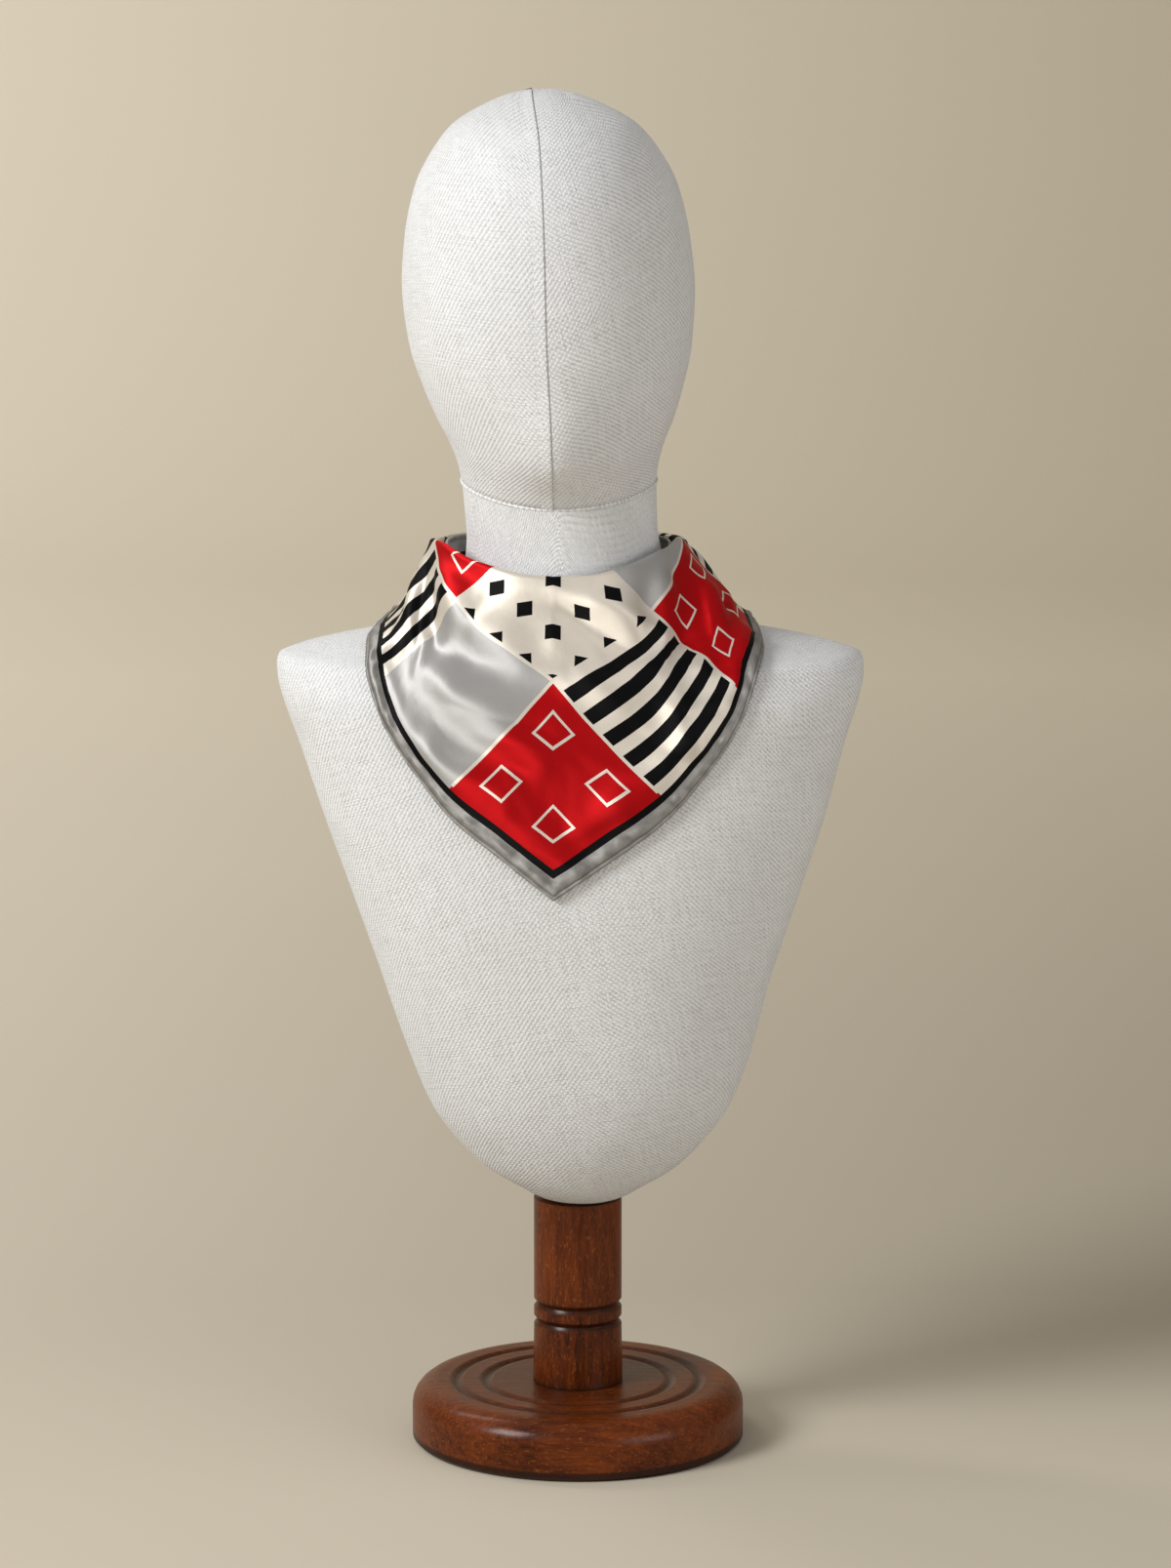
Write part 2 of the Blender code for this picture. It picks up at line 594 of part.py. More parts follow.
def main():
    clear_scene()
    collection = bpy.data.collections.new("bandana_on_form")
    bpy.context.scene.collection.children.link(collection)
    linen = material("linen", (0.72, 0.71, 0.70), 0.9)
    linen_head = material("linen_head", (0.74, 0.73, 0.72), 0.9)
    wood = material("varnished_wood", (0.16, 0.045, 0.02), 0.3)
    wood_post = material("varnished_wood_post", (0.18, 0.05, 0.022), 0.3)
    silk = material("printed_silk", (0.62, 0.60, 0.57), 0.35)
    silk_ends = material("printed_silk_ends", (0.65, 0.10, 0.09), 0.35)
    turned("stand_base", base_profile(), 40, wood, collection)
    turned("stand_post", post_profile(), 32, wood_post, collection)
    build_body(linen, collection)
    build_head(linen_head, collection)
    build_front(silk, collection)
    build_nape("bandana_nape_left", NAPE_LEFT, silk_ends, collection)
    build_nape("bandana_nape_right", NAPE_RIGHT, silk_ends, collection)
    build_knot(silk_ends, collection)
    build_tail("bandana_tail_left", TAIL_LEFT, silk_ends, collection)
    build_tail("bandana_tail_right", TAIL_RIGHT, silk_ends, collection)


main()
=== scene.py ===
"""Looks of a silk neck bandana on a linen head-and-bust form with a turned wooden stand.

The tables repeat the part's own sizes in millimetres, so that every fine surface lies on its solid.
"""
import math

import bpy
import numpy as np
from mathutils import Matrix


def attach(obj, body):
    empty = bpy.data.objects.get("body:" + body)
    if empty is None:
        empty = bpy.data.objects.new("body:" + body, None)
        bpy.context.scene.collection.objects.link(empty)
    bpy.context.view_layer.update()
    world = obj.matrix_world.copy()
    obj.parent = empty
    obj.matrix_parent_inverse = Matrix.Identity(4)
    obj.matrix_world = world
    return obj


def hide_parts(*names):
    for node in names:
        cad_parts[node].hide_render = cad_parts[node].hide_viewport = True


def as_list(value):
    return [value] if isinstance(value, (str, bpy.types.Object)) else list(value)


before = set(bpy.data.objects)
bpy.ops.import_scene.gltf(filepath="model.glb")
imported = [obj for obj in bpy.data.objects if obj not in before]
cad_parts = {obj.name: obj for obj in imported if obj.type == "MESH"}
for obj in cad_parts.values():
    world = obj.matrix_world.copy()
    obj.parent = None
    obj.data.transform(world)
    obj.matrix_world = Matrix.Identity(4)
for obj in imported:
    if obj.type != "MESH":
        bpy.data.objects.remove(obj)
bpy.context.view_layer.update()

MM = 0.001

SEAM_GAP = 0.3                  # between two pieces that touch

# Wooden stand
BASE_RADIUS = 90.0
BASE_HEIGHT = 31.5
BASE_EDGE_ROUND = 13.0
BASE_FOOT_BEVEL = 2.0
RING_GROOVES = (50.0, 66.0)     # radii of the two grooves turned in the top
RING_GROOVE_WIDTH = 6.0
RING_GROOVE_DEPTH = 1.6
POST_RADIUS = 23.8
POST_FLARE = 0.5                # how much wider the post is at its foot
POST_GROOVES = (75.2, 65.8)     # heights of the two grooves turned in the post
POST_GROOVE_WIDTH = 5.0
POST_GROOVE_DEPTH = 1.6

# Display form
BODY_FOOT = 134.0               # height of the bust's flat bottom
SEAM_HIGH = 526.5               # height of the neck seam at the nape
SEAM_DIP = 10.5                 # how far it dips below the chin
SEAM_REACH = 28.0               # how far above and below the seam the rings follow its dip
CROWN = 730.4

SECTION = ("height", "half_width", "half_depth", "middle", "squareness")
BODY = (
    (134, 19, 19, 0, 2),
    (137, 26, 26, -1, 2),
    (142, 34, 34, -1.5, 2),
    (153, 52, 43.5, -2.5, 2),
    (164, 63.5, 51, -3, 2),
    (186, 79.6, 61, -4, 2.1),
    (207, 88.5, 67, -5, 2.15),
    (261, 105, 75.5, -6.5, 2.2),
    (304, 119.3, 79.5, -7.5, 2.25),
    (346, 133.4, 81.5, -7.5, 2.3),
    (389, 146, 80, -7, 2.35),
    (410, 153, 77, -7, 2.4),
    (422, 155.6, 74, -6.8, 2.25),
    (428, 155.8, 72, -6.5, 2.15),
    (432.5, 154.7, 69.8, -6.5, 2.05),
    (435.6, 148.5, 68.3, -6.5, 1.9),
    (438.8, 139, 67, -6.5, 1.75),
    (442, 126.5, 66, -6.5, 1.6),
    (447, 100, 64.8, -6.5, 1.45),
    (452, 83, 63.6, -6.8, 1.5),
    (459, 70, 61.8, -6.8, 1.65),
    (467, 61, 59.8, -7, 1.85),
    (476, 55, 58, -7, 2),
    (486, 52, 56.8, -7, 2),
    (500, 50.6, 56, -7, 2),
    (526.5, 51.3, 56, -7, 2),
)
HEAD = (
    (526.5, 51.3, 56, -7, 2),
    (535, 52.8, 61.5, -7.5, 2),
    (546, 56.3, 69.2, -8.8, 2),
    (560, 62.8, 78, -9, 2),
    (577, 69, 87.2, -8.3, 2),
    (597, 74.3, 93.8, -6.8, 2),
    (628, 77, 97.5, -4, 2),
    (652, 75.1, 96, -3, 2),
    (680, 69, 90, -3, 2),
    (700, 58.5, 77.5, -4, 2),
    (712, 48.5, 64, -4.5, 2),
    (722, 32, 43, -5, 2),
    (CROWN, 0, 0, -5, 2),
)
# The chin swells out of the head's sections
CHIN_OUT = 13.0
CHIN_HIGH = 549.0               # height of its middle
CHIN_BELOW = 13.0               # reach down
CHIN_ABOVE = 24.0               # up
CHIN_WIDE = 25.0                # and to each side
# The form's centre line leans a little to its right, more at the neck than in the bust
LEAN = (
    (134, 2), (207, 1.6), (250, -0.2), (336, -1.3), (389, -3), (447, -4.5),
    (504, -8.5), (546, -10.8), (608, -14.7), (649, -15.8), (700, -16.6), (CROWN, -18),
)
BODY_RINGS = 190
HEAD_RINGS = 96
BODY_SIDES = 160
HEAD_SIDES = 128
HEAD_CLOTH = 500.0              # shift of the head's linen, so that its weave isn't the bust's
BACK_JUMP = 60.0                # a face whose corners are further apart in the linen lies at the centre back

# Bandana
CLOTH = 1.2                     # wall
CLOTH_LIFT = 1.1                # between the wall and the form it lies on
HEM_LIFT = 0.8                  # and at its hem
ROLL = 2.3                      # outer radius of the top fold
TURN_IN = 15.0                  # stretch behind the top fold
SOFTEN = 3.0                    # how gently the cloth parts from the form
NECK_MIDDLE = -7.0              # depth of the neck's axis
TOP_EASE = 0.12                 # share of the drape below the top fold in which the folds fade in
HEM_EASE = 0.10                 # and above the hem, in which they fade out

STATION = ("along", "neck_x", "neck_y", "neck_z", "hem_x", "hem_y", "hem_z", "belly")
# Rows run from the corner at the front round one side to the nape. "along" is measured on the top fold.
FRONT_LEFT = (
    (0, -5.7, -71, 480.2, -11.5, -89.2, 315.3, 0),
    (19, -24.3, -68, 481.8, -39.5, -88, 338, 0),
    (36, -39.4, -61, 485, -64, -84, 358, 0.5),
    (49, -49.5, -53, 487.5, -78.5, -80, 376.5, 0),
    (60, -57, -44, 490.5, -90, -76.5, 393, -1.5),
    (73, -63, -33, 493, -100, -72, 412.5, -3.5),
    (88, -68, -19, 493.2, -106, -62, 434, -5.5),
    (103, -69, -4, 490.5, -106, -38, 443.5, -6.5),
    (121, -67.5, 14, 488.5, -100.5, -11.8, 448.3, -6),
    (138, -62.5, 31, 488, -92, 13, 451, -4),
    (156, -54, 46, 487.5, -76, 36, 454.5, -1),
    (172, -42, 56, 487, -56, 53, 460.5, 0),
    (198, -16.5, 65.5, 484, -16.5, 67, 474, 0),
)
FRONT_RIGHT = (
    (0, -5.7, -71, 480.2, -11.5, -89.2, 315.3, 0),
    (17, 11.1, -71, 480.8, 15, -90.2, 333.5, 0),
    (40, 31.6, -62, 484.5, 49, -87.2, 358, 0.5),
    (55, 42.1, -52, 487.2, 66.5, -83.4, 376.7, 0),
    (69, 50.6, -41, 489.8, 81, -79.5, 395.3, 0),
    (79, 55.2, -31, 490.3, 89.3, -76, 409.7, -0.5),
    (94, 60.3, -17, 492.8, 97.6, -67.5, 431.5, -1),
    (106, 62.5, -5, 490.5, 101.4, -47.4, 442, -1.5),
    (124, 64, 12, 488.5, 100, -21, 447.2, -1.5),
    (142, 61, 30, 488, 92, 8, 450.5, 0),
    (158, 54, 44, 487.5, 78, 31, 454, 0),
    (174, 42, 55, 487, 57, 51, 460.5, 0),
    (198, 16.5, 65.5, 484, 16.5, 67, 474, 0),
)
FRONT_COLUMNS = 120              # on each side
FRONT_ROWS = 104
ROW_CROWDING = 1.45             # how much closer the rows stand at the hem
ROLL_STEPS = 8

# From x and y to x and y in the flat cloth, measured from the hanging corner, with half width and height.
# Negative heights are troughs.
FOLDS = (
    (2, 158, 34, 138, 7, -2.8),
    (4, 133, 27, 112, 9, 2),
    (-44, 99, -12, 84, 8, -2.4),
    (-46, 116, -3, 98, 9, 1.8),
    (-70, 172, -66, 140, 7, -2.2),
    (-50, 168, -52, 137, 8, 1.6),
    (-90, 176, -92, 136, 7, 1.8),
    (33, 168, 40, 127, 9, 2.4),
    (70, 182, 66, 130, 8, -2.6),
    (104, 174, 96, 132, 8, 2),
    (120, 140, 70, 95, 7, 3.2),
    (-72, 92, -36, 56, 8, 2),
    (30, 60, 14, 40, 6, 1.5),
    (0, 38, 2, 62, 5, -1.2),
    (-128, 196, -122, 165, 7, 1.8),
    (-150, 200, -146, 176, 6, -1.5),
    (-176, 206, -172, 188, 7, 1.4),
    (130, 198, 126, 165, 7, 1.8),
    (152, 206, 150, 180, 6, -1.5),
    (176, 210, 174, 192, 7, 1.4),
)

BAND = ("x", "y", "top", "bottom")
NAPE_LEFT = (
    (-63, -8, 487.5, 466),
    (-62, 10, 490.5, 464),
    (-57, 21, 491, 462),
    (-50, 33, 490.2, 460),
    (-41, 43, 489.4, 459),
    (-28, 51.5, 488.8, 459),
    (-14, 56.5, 488, 461),
    (-0.3, 58, 487.5, 463),
)
NAPE_RIGHT = (
    (57, -4, 487, 468),
    (57, 8, 489.5, 466),
    (55, 20, 490, 464),
    (49.5, 32, 489.6, 462),
    (41, 43, 489.2, 459),
    (28, 51.5, 488.8, 459),
    (14, 56.5, 488, 461),
    (0.3, 58, 487.5, 463),
)

KNOT_CENTRE = (0.0, 68.5, 475.0)
KNOT_HALF = (14.0, 9.9, 12.5)
KNOT_SQUARENESS = 2.6
KNOT_TURN_HALF = 5.2            # half width of the turn of cloth round its middle
PLEATS = 9.0                    # round the knot
PLEAT_DEPTH = 0.045             # as a share of the knot

TAIL_ROWS = 48
TAIL_COLUMNS = 24
NAPE_ROWS = 18
NAPE_COLUMNS = 72

TAIL = ("x", "y", "z", "half_width")
TAIL_LEFT = (
    (-6, 69, 462.3, 5),
    (-11, 70, 448, 9.5),
    (-18, 68, 428, 12.5),
    (-26, 70, 408, 10),
    (-33, 72, 388, 0.8),
)
TAIL_RIGHT = (
    (6, 69, 462.3, 5),
    (10, 70, 450, 9),
    (16, 68, 434, 12),
    (25, 69, 418, 10.5),
    (35, 70, 401, 0.8),
)

# Fine cloth
SHELL = 0.5                     # thickness of the silk as it is shown
HEM_RADIUS = 0.85               # rolled hem
HEM_CLEAR = 1.0                 # from the form to the hem's middle
HEM_WIDE = 1.7                  # from the edge to the groove beside the roll
HEM_GROOVE = 0.4                # depth of that groove
HEM_GROOVE_REACH = 0.45
STITCH_STEP = 3.6
# A stitch over the hem: how far out, how far in from the edge, how far along it, and its thread's radius
STITCH = (
    (0.4675, -0.75, 0, 0.12),
    (0.918, 0, 0.25, 0.2),
    (0.6375, 0.95, 0.6, 0.2),
    (0.25, 1.55, 0.9, 0.12),
)
THREADS = (2.1, 2.2)            # from one linen thread to the next, both ways
BORDER = 8.3                    # grey border
LINE = 3.5                      # black line inside it
PATCH = 68.0                    # side of one printed square
PUCKER = 1.15                   # height of the border's puckers
PUCKER_STEP = 13.0              # from one to the next
PUCKER_MIDDLE = 4.6             # from the hem to their middle
PUCKER_REACH = 3.2
OTHER_SIDE = 21.0               # shift of the left side's puckers one way and the right side's the other
FINE_TOP_EASE = 0.10            # as TOP_EASE, for the fine creases
FINE_HEM_EASE = 0.05

# Creases too fine for the solid, as the rows of FOLDS
CREASES = (
    (104, 172, 112, 158, 2.2, -1.6),
    (96, 168, 90, 148, 4, 0.7),
    (58, 178, 52, 150, 4, 0.8),
    (44, 160, 50, 128, 4.5, -0.9),
    (20, 168, 48, 150, 4, 0.9),
    (10, 146, 30, 128, 4, -0.7),
    (-14, 166, -36, 150, 4.5, 0.7),
    (-30, 162, -60, 128, 4, -0.6),
    (-58, 168, -74, 120, 3.6, 0.7),
    (-82, 170, -78, 132, 3, -0.8),
    (-98, 172, -100, 140, 3, 0.8),
    (-30, 92, 4, 76, 4, 0.8),
    (-50, 82, -18, 70, 4, -0.7),
    (-20, 64, -2, 40, 3.6, 0.6),
    (6, 84, 34, 74, 4.5, 0.7),
    (40, 96, 62, 80, 4, -0.8),
    (58, 110, 86, 104, 4, 0.9),
    (84, 128, 104, 118, 3.5, -0.9),
    (24, 46, 10, 28, 3.4, -0.6),
    (-10, 30, 2, 18, 3, 0.6),
    (-104, 120, -84, 104, 4, 0.7),
    (-116, 150, -112, 132, 3.5, -0.8),
    (126, 168, 118, 150, 3.5, 0.9),
    (-140, 190, -138, 160, 3, 0.9),
    (-162, 200, -158, 176, 3, -0.9),
    (142, 196, 138, 166, 3, -0.9),
    (164, 204, 160, 180, 3, 0.9),
    (-186, 206, -182, 190, 3, 0.8),
    (186, 206, 182, 192, 3, -0.8),
)

# Long soft ridges of the drape: the crest's points in the flat cloth, half width and height
SWEEPS = (
    (((-64, 172), (-48, 157), (-30, 143), (-12, 123), (8, 115), (30, 122)), 11.875, 3.9),
    (((-66, 124), (-48, 112), (-34, 104), (-18, 88), (-6, 74)), 10, 3.9),
    (((-58, 84), (-40, 72), (-24, 60)), 8.75, 3.12),
    (((-22, 46), (-8, 34), (4, 24)), 8.125, 2.34),
    (((4, 166), (26, 161), (42, 152)), 8.75, 2.86),
    (((50, 126), (60, 108), (62, 92), (48, 74), (30, 56)), 9.375, 3.38),
    (((62, 172), (60, 152), (52, 138)), 10, 3.12),
    (((98, 168), (90, 146), (76, 128)), 8.75, 2.34),
    (((-100, 168), (-88, 146), (-74, 132)), 8.75, 2.08),
)

# The head's seam beside the form's centre line, by height
SEAM_SHIFT = ((526.5, -3.0), (581.0, -1.5), (643.0, -1.1), (706.0, -2.9), (CROWN, -6.0))
# Height of the folded edge across the head's seam, from left to right
SEAM_EDGE = ((-7.0, -0.25), (-5.5, -0.02), (-4.0, 0.10), (-2.5, 0.24), (-1.4, 0.38), (-0.6, 0.48), (-0.15, 0.46),
             (0.1, 0.30), (0.2, 0.03), (0.65, 0.02), (0.75, -0.4))

# The floor's sweep, in metres
STAGE_BACK = 4.8
STAGE_CURVE = 1.5
STAGE_REACH = 26.0

# Camera, as the photograph was taken
CAMERA = (0.00417, -3.0, 0.90)
CAMERA_DOWN = 10.1953
LENS = 130.906


def column(rows, names, name):
    """One named column of a table."""
    return np.array([row[names.index(name)] for row in rows], dtype=float)


def slopes(xs, ys):
    """Slopes that let a cubic pass through the points with no overshoot."""
    steps = np.diff(xs)
    rises = np.diff(ys) / steps
    result = np.zeros(len(xs))
    result[0], result[-1] = rises[0], rises[-1]
    for i in range(1, len(xs) - 1):
        if rises[i - 1] * rises[i] > 0.0:
            before = 2.0 * steps[i] + steps[i - 1]
            after = steps[i] + 2.0 * steps[i - 1]
            result[i] = (before + after) / (before / rises[i - 1] + after / rises[i])
    return result


def smooth(xs, ys, x):
    """The value at x on a smooth curve through the points."""
    x = np.clip(np.asarray(x, dtype=float), xs[0], xs[-1])
    i = np.clip(np.searchsorted(xs, x, side="right") - 1, 0, len(xs) - 2)
    step = xs[i + 1] - xs[i]
    t = (x - xs[i]) / step
    m = slopes(xs, ys)
    return ((2 * t**3 - 3 * t**2 + 1) * ys[i] + (t**3 - 2 * t**2 + t) * step * m[i]
            + (3 * t**2 - 2 * t**3) * ys[i + 1] + (t**3 - t**2) * step * m[i + 1])


def unit(vectors):
    """The vectors, each at a length of 1."""
    return vectors / np.linalg.norm(vectors, axis=-1, keepdims=True)


def signed_power(value, power):
    """A power of the value that keeps its sign."""
    return np.sign(value) * np.abs(value)**power


def stacked(*parts):
    """Points or places from their parts, of any sizes that fit together."""
    return np.stack(np.broadcast_arrays(*parts), axis=-1)


def circle(steps):
    """Angles spread evenly round a circle."""
    return np.arange(steps) * 2.0 * math.pi / steps


def lean(height):
    """How far the form's centre line stands to the side at a height."""
    table = np.array(LEAN)
    return smooth(table[:, 0], table[:, 1], height)


def section(rows, height):
    """Half width, half depth, middle and squareness of the form at a height."""
    heights = column(rows, SECTION, "height")
    half_width = np.sqrt(smooth(heights, column(rows, SECTION, "half_width")**2, height))
    half_depth = np.sqrt(smooth(heights, column(rows, SECTION, "half_depth")**2, height))
    middle = smooth(heights, column(rows, SECTION, "middle"), height)
    squareness = smooth(heights, column(rows, SECTION, "squareness"), height)
    return half_width, half_depth, middle, squareness


def seam_dip(angle, height):
    """How far a ring sinks towards the front, so that the rings follow the neck seam."""
    front = ((1.0 - np.sin(angle)) / 2.0)**3
    return SEAM_DIP * front * np.exp(-((height - SEAM_HIGH) / SEAM_REACH)**2)


def chin(across, height):
    """How far the chin stands out at a distance from the form's centre line."""
    tall = np.where(height < CHIN_HIGH, CHIN_BELOW, CHIN_ABOVE)
    return CHIN_OUT * np.exp(-(across / CHIN_WIDE)**2 - ((height - CHIN_HIGH) / tall)**2)


def form_ring(rows, height, sides, shift=0.0):
    """One ring of the form, as points in millimetres."""
    angle = circle(sides)
    half_width, half_depth, middle, squareness = section(rows, height)
    x = half_width * signed_power(np.cos(angle), 2.0 / squareness)
    y = middle + half_depth * signed_power(np.sin(angle), 2.0 / squareness)
    y -= chin(x, height) * (np.sin(angle) < 0.0)
    z = height - seam_dip(angle, height) + shift
    return stacked(x + lean(height), y, z)


def outside(points):
    """Signed distance of points from the bust and neck, and the direction away from them."""
    def level(p):
        half_width, half_depth, middle, n = section(BODY, p[:, 2])
        across = np.abs((p[:, 0] - lean(p[:, 2])) / half_width)**n
        deep = np.abs((p[:, 1] - middle) / half_depth)**n
        return (across + deep)**(1.0 / n)

    step = 0.05
    value = level(points)
    slope = np.empty_like(points)
    for axis in range(3):
        moved = np.zeros(3)
        moved[axis] = step
        slope[:, axis] = (level(points + moved) - level(points - moved)) / (2.0 * step)
    steepness = np.linalg.norm(slope, axis=1)
    return (value - 1.0) / steepness, slope / steepness[:, None]


def clear_of_form(points, lift, soften=0.0):
    """Points moved out so that they lie at least `lift` from the bust and neck."""
    shape = points.shape
    points = points.reshape(-1, 3).copy()
    for _ in range(4):
        distance, away = outside(points)
        spare = distance - lift
        wanted = 0.5 * (spare + np.sqrt(spare**2 + soften**2)) if soften else np.maximum(spare, 0.0)
        points += away * (wanted - spare)[:, None]
        soften = 0.0
    return points.reshape(shape)


def groove(radius, height, width, depth, steps=4):
    """Points of a round groove across a flat top, from its inner to its outer lip."""
    return [(radius + width * (i / steps - 0.5), height - depth * math.sin(math.pi * i / steps))
            for i in range(steps + 1)]


def base_profile():
    """The disc: a flat top with two grooves, a rounded edge and a small bevel at the foot."""
    profile = [(0.0, BASE_HEIGHT)]
    for radius in RING_GROOVES:
        profile += groove(radius, BASE_HEIGHT, RING_GROOVE_WIDTH, RING_GROOVE_DEPTH)
    for i in range(7):
        turn = math.radians(15.0 * i)
        profile.append((BASE_RADIUS - BASE_EDGE_ROUND * (1.0 - math.sin(turn)),
                        BASE_HEIGHT - BASE_EDGE_ROUND * (1.0 - math.cos(turn))))
    profile += [(BASE_RADIUS, BASE_FOOT_BEVEL), (BASE_RADIUS - BASE_FOOT_BEVEL, 0.0), (0.0, 0.0)]
    return profile


def post_profile():
    """The post: plain turning with two grooves and the bead that they leave."""
    top, foot = BODY_FOOT - SEAM_GAP, BASE_HEIGHT + SEAM_GAP
    profile = [(0.0, top), (POST_RADIUS, top)]
    for height in POST_GROOVES:
        profile += [(POST_RADIUS - z, height - r) for r, z in
                    groove(0.0, 0.0, POST_GROOVE_WIDTH, -POST_GROOVE_DEPTH)]
    profile += [(POST_RADIUS + POST_FLARE, foot), (0.0, foot)]
    return profile


def lay(rows, names, triple, along, positions):
    """A smooth run of points through three columns of a table."""
    points = np.column_stack([smooth(along, column(rows, names, name), positions) for name in triple])
    points[:, 0] += lean(points[:, 2])
    return points


def front_side(rows, columns):
    """Top fold and hem of one side of the front, with the belly of each column."""
    along = column(rows, STATION, "along")
    positions = np.linspace(0.0, along[-1], columns + 1)
    neck = lay(rows, STATION, ("neck_x", "neck_y", "neck_z"), along, positions)
    hem = lay(rows, STATION, ("hem_x", "hem_y", "hem_z"), along, positions)
    belly = smooth(along, column(rows, STATION, "belly"), positions)
    return neck, hem, belly


def arc_length(points):
    """Distance along a run of points."""
    return np.concatenate(([0.0], np.cumsum(np.linalg.norm(np.diff(points, axis=0), axis=1))))


def ridge(flat, row, fade, bend=0.0):
    """Height of one fold or crease, which fades past its ends and may wind a little."""
    x0, y0, x1, y1, half_width, rise = row
    run = np.array((x1 - x0, y1 - y0), dtype=float)
    length = np.linalg.norm(run)
    run /= length
    rel = flat - np.array((x0, y0))
    on = rel @ run
    across = rel @ np.array((-run[1], run[0])) + bend * np.sin(on / 9.0 + x0)
    past = np.maximum(np.maximum(-on, on - length), 0.0)
    return rise * np.exp(-(across / half_width)**2 - (past / (fade * half_width))**2)


def fold_height(flat):
    """Height of all folds at points of the flat cloth."""
    return sum(ridge(flat, row, 1.3) for row in FOLDS)


def eased(share, top, hem):
    """How far folds stand out at each share of the drape: they fade at the top fold and at the hem."""
    t = np.clip(np.minimum(share / top, (1.0 - share) / hem), 0.0, 1.0)
    return (t * t * (3.0 - 2.0 * t))[:, None]


def grid_normals(grid):
    """Unit normals of a grid of points."""
    return unit(np.cross(np.gradient(grid, axis=0), np.gradient(grid, axis=1)))


def unroll(neck, hem):
    """Flat places of one side's top fold and hem, laid out column by column from the corner."""
    hem_flat = arc_length(hem)[:, None] / math.sqrt(2.0) * np.ones(2)
    drop = np.linalg.norm(neck - hem, axis=1)
    neck_flat = [np.array((0.0, drop[0]))]
    for k in range(1, len(neck)):
        step = np.linalg.norm(neck[k] - neck[k - 1])
        gap = hem_flat[k] - neck_flat[-1]
        span = np.linalg.norm(gap)
        along = (step**2 - drop[k]**2 + span**2) / (2.0 * span)
        aside = math.sqrt(max(step**2 - along**2, 0.0))
        gap /= span
        neck_flat.append(neck_flat[-1] + along * gap + aside * np.array((-gap[1], gap[0])))
    return np.array(neck_flat), hem_flat


def joined(left, right):
    """One run from the left end over the front to the right end."""
    return np.concatenate((left[::-1], right[1:]))


def row_shares(first):
    """How far down the drape each row lies, closer together at the hem."""
    return 1.0 - (1.0 - np.arange(first, FRONT_ROWS + 1) / FRONT_ROWS)**ROW_CROWDING


def front_grid():
    """Outer points of the front: turned-in stretch, top fold, drape down to the hem."""
    left = front_side(FRONT_LEFT, FRONT_COLUMNS)
    right = front_side(FRONT_RIGHT, FRONT_COLUMNS)
    neck, hem, belly = (joined(a, b) for a, b in zip(left, right))
    hem = clear_of_form(hem, HEM_LIFT + CLOTH)
    mirrored = np.array((-1.0, 1.0))
    left_flat = unroll(neck[FRONT_COLUMNS::-1], hem[FRONT_COLUMNS::-1])
    right_flat = unroll(neck[FRONT_COLUMNS:], hem[FRONT_COLUMNS:])
    neck_flat, hem_flat = (joined(a * mirrored, b) for a, b in zip(left_flat, right_flat))
    out = unit(neck - stacked(lean(neck[:, 2]), NECK_MIDDLE, neck[:, 2]))
    up = np.array((0.0, 0.0, 1.0))
    rows = [neck - out * ROLL - up * depth for depth in (TURN_IN, TURN_IN / 2.0)]
    for step in range(ROLL_STEPS + 1):
        turn = math.pi * (1.0 - step / ROLL_STEPS)
        rows.append(neck + ROLL * (math.cos(turn) * out + math.sin(turn) * up))
    start = rows[-1]
    first = len(rows)
    share = row_shares(1)
    for v in share:
        rows.append(start + (hem - start) * v + out * (belly * math.sin(math.pi * v))[:, None])
    grid = np.array(rows)
    drape = clear_of_form(grid[first:], CLOTH_LIFT + CLOTH, SOFTEN)
    grid[first:] = drape
    flat = neck_flat + (hem_flat - neck_flat) * share[:, None, None]
    rise = fold_height(flat) * eased(share, TOP_EASE, HEM_EASE)
    raised = drape + grid_normals(grid)[first:] * rise[..., None]
    grid[first:-1] = clear_of_form(raised[:-1], CLOTH_LIFT + CLOTH)
    grid[-1] = hem
    return grid, flat


def silk_height(flat):
    """Height of the soft ridges and the fine creases at points of the flat cloth."""
    height = np.zeros(flat.shape[:-1])
    for crest, half_width, rise in SWEEPS:
        nearest = np.full(height.shape, 1e6)
        for start, end in zip(crest, crest[1:]):
            run = np.subtract(end, start)
            share = np.clip((flat - start) @ run / (run @ run), 0.0, 1.0)
            nearest = np.minimum(nearest, np.linalg.norm(flat - start - share[..., None] * run, axis=-1))
        height += rise * np.exp(-(nearest / half_width)**2)
    return sum((ridge(flat, row, 2.2, 2.2) for row in CREASES), height)


def edge_distance(flat):
    """How far points of the flat cloth lie from the nearer hem."""
    return (flat[..., 1] - np.abs(flat[..., 0])) / math.sqrt(2.0)


def waves(s):
    """An uneven wave along a hem, between -1 and 1."""
    turn = 2.0 * math.pi * s / PUCKER_STEP
    return 0.55 * np.sin(turn + 1.3 * np.sin(turn * 0.37)) + 0.45 * np.sin(turn * 0.61 + 2.0)


def mesh_piece(name, points, faces, material, attribute):
    """A smooth shaded piece from points in millimetres, with its place in the flat cloth."""
    mesh = bpy.data.meshes.new(name)
    mesh.from_pydata((np.asarray(points) * MM).tolist(), [], faces)
    mesh.materials.append(material)
    mesh.shade_smooth()
    domain = "POINT" if len(attribute) == len(points) else "CORNER"
    layer = mesh.attributes.new("cloth", "FLOAT_VECTOR", domain)
    layer.data.foreach_set("vector", np.asarray(attribute, dtype=np.float32).ravel())
    obj = bpy.data.objects.new(name, mesh)
    bpy.context.scene.collection.objects.link(obj)
    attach(obj, "root")
    return obj


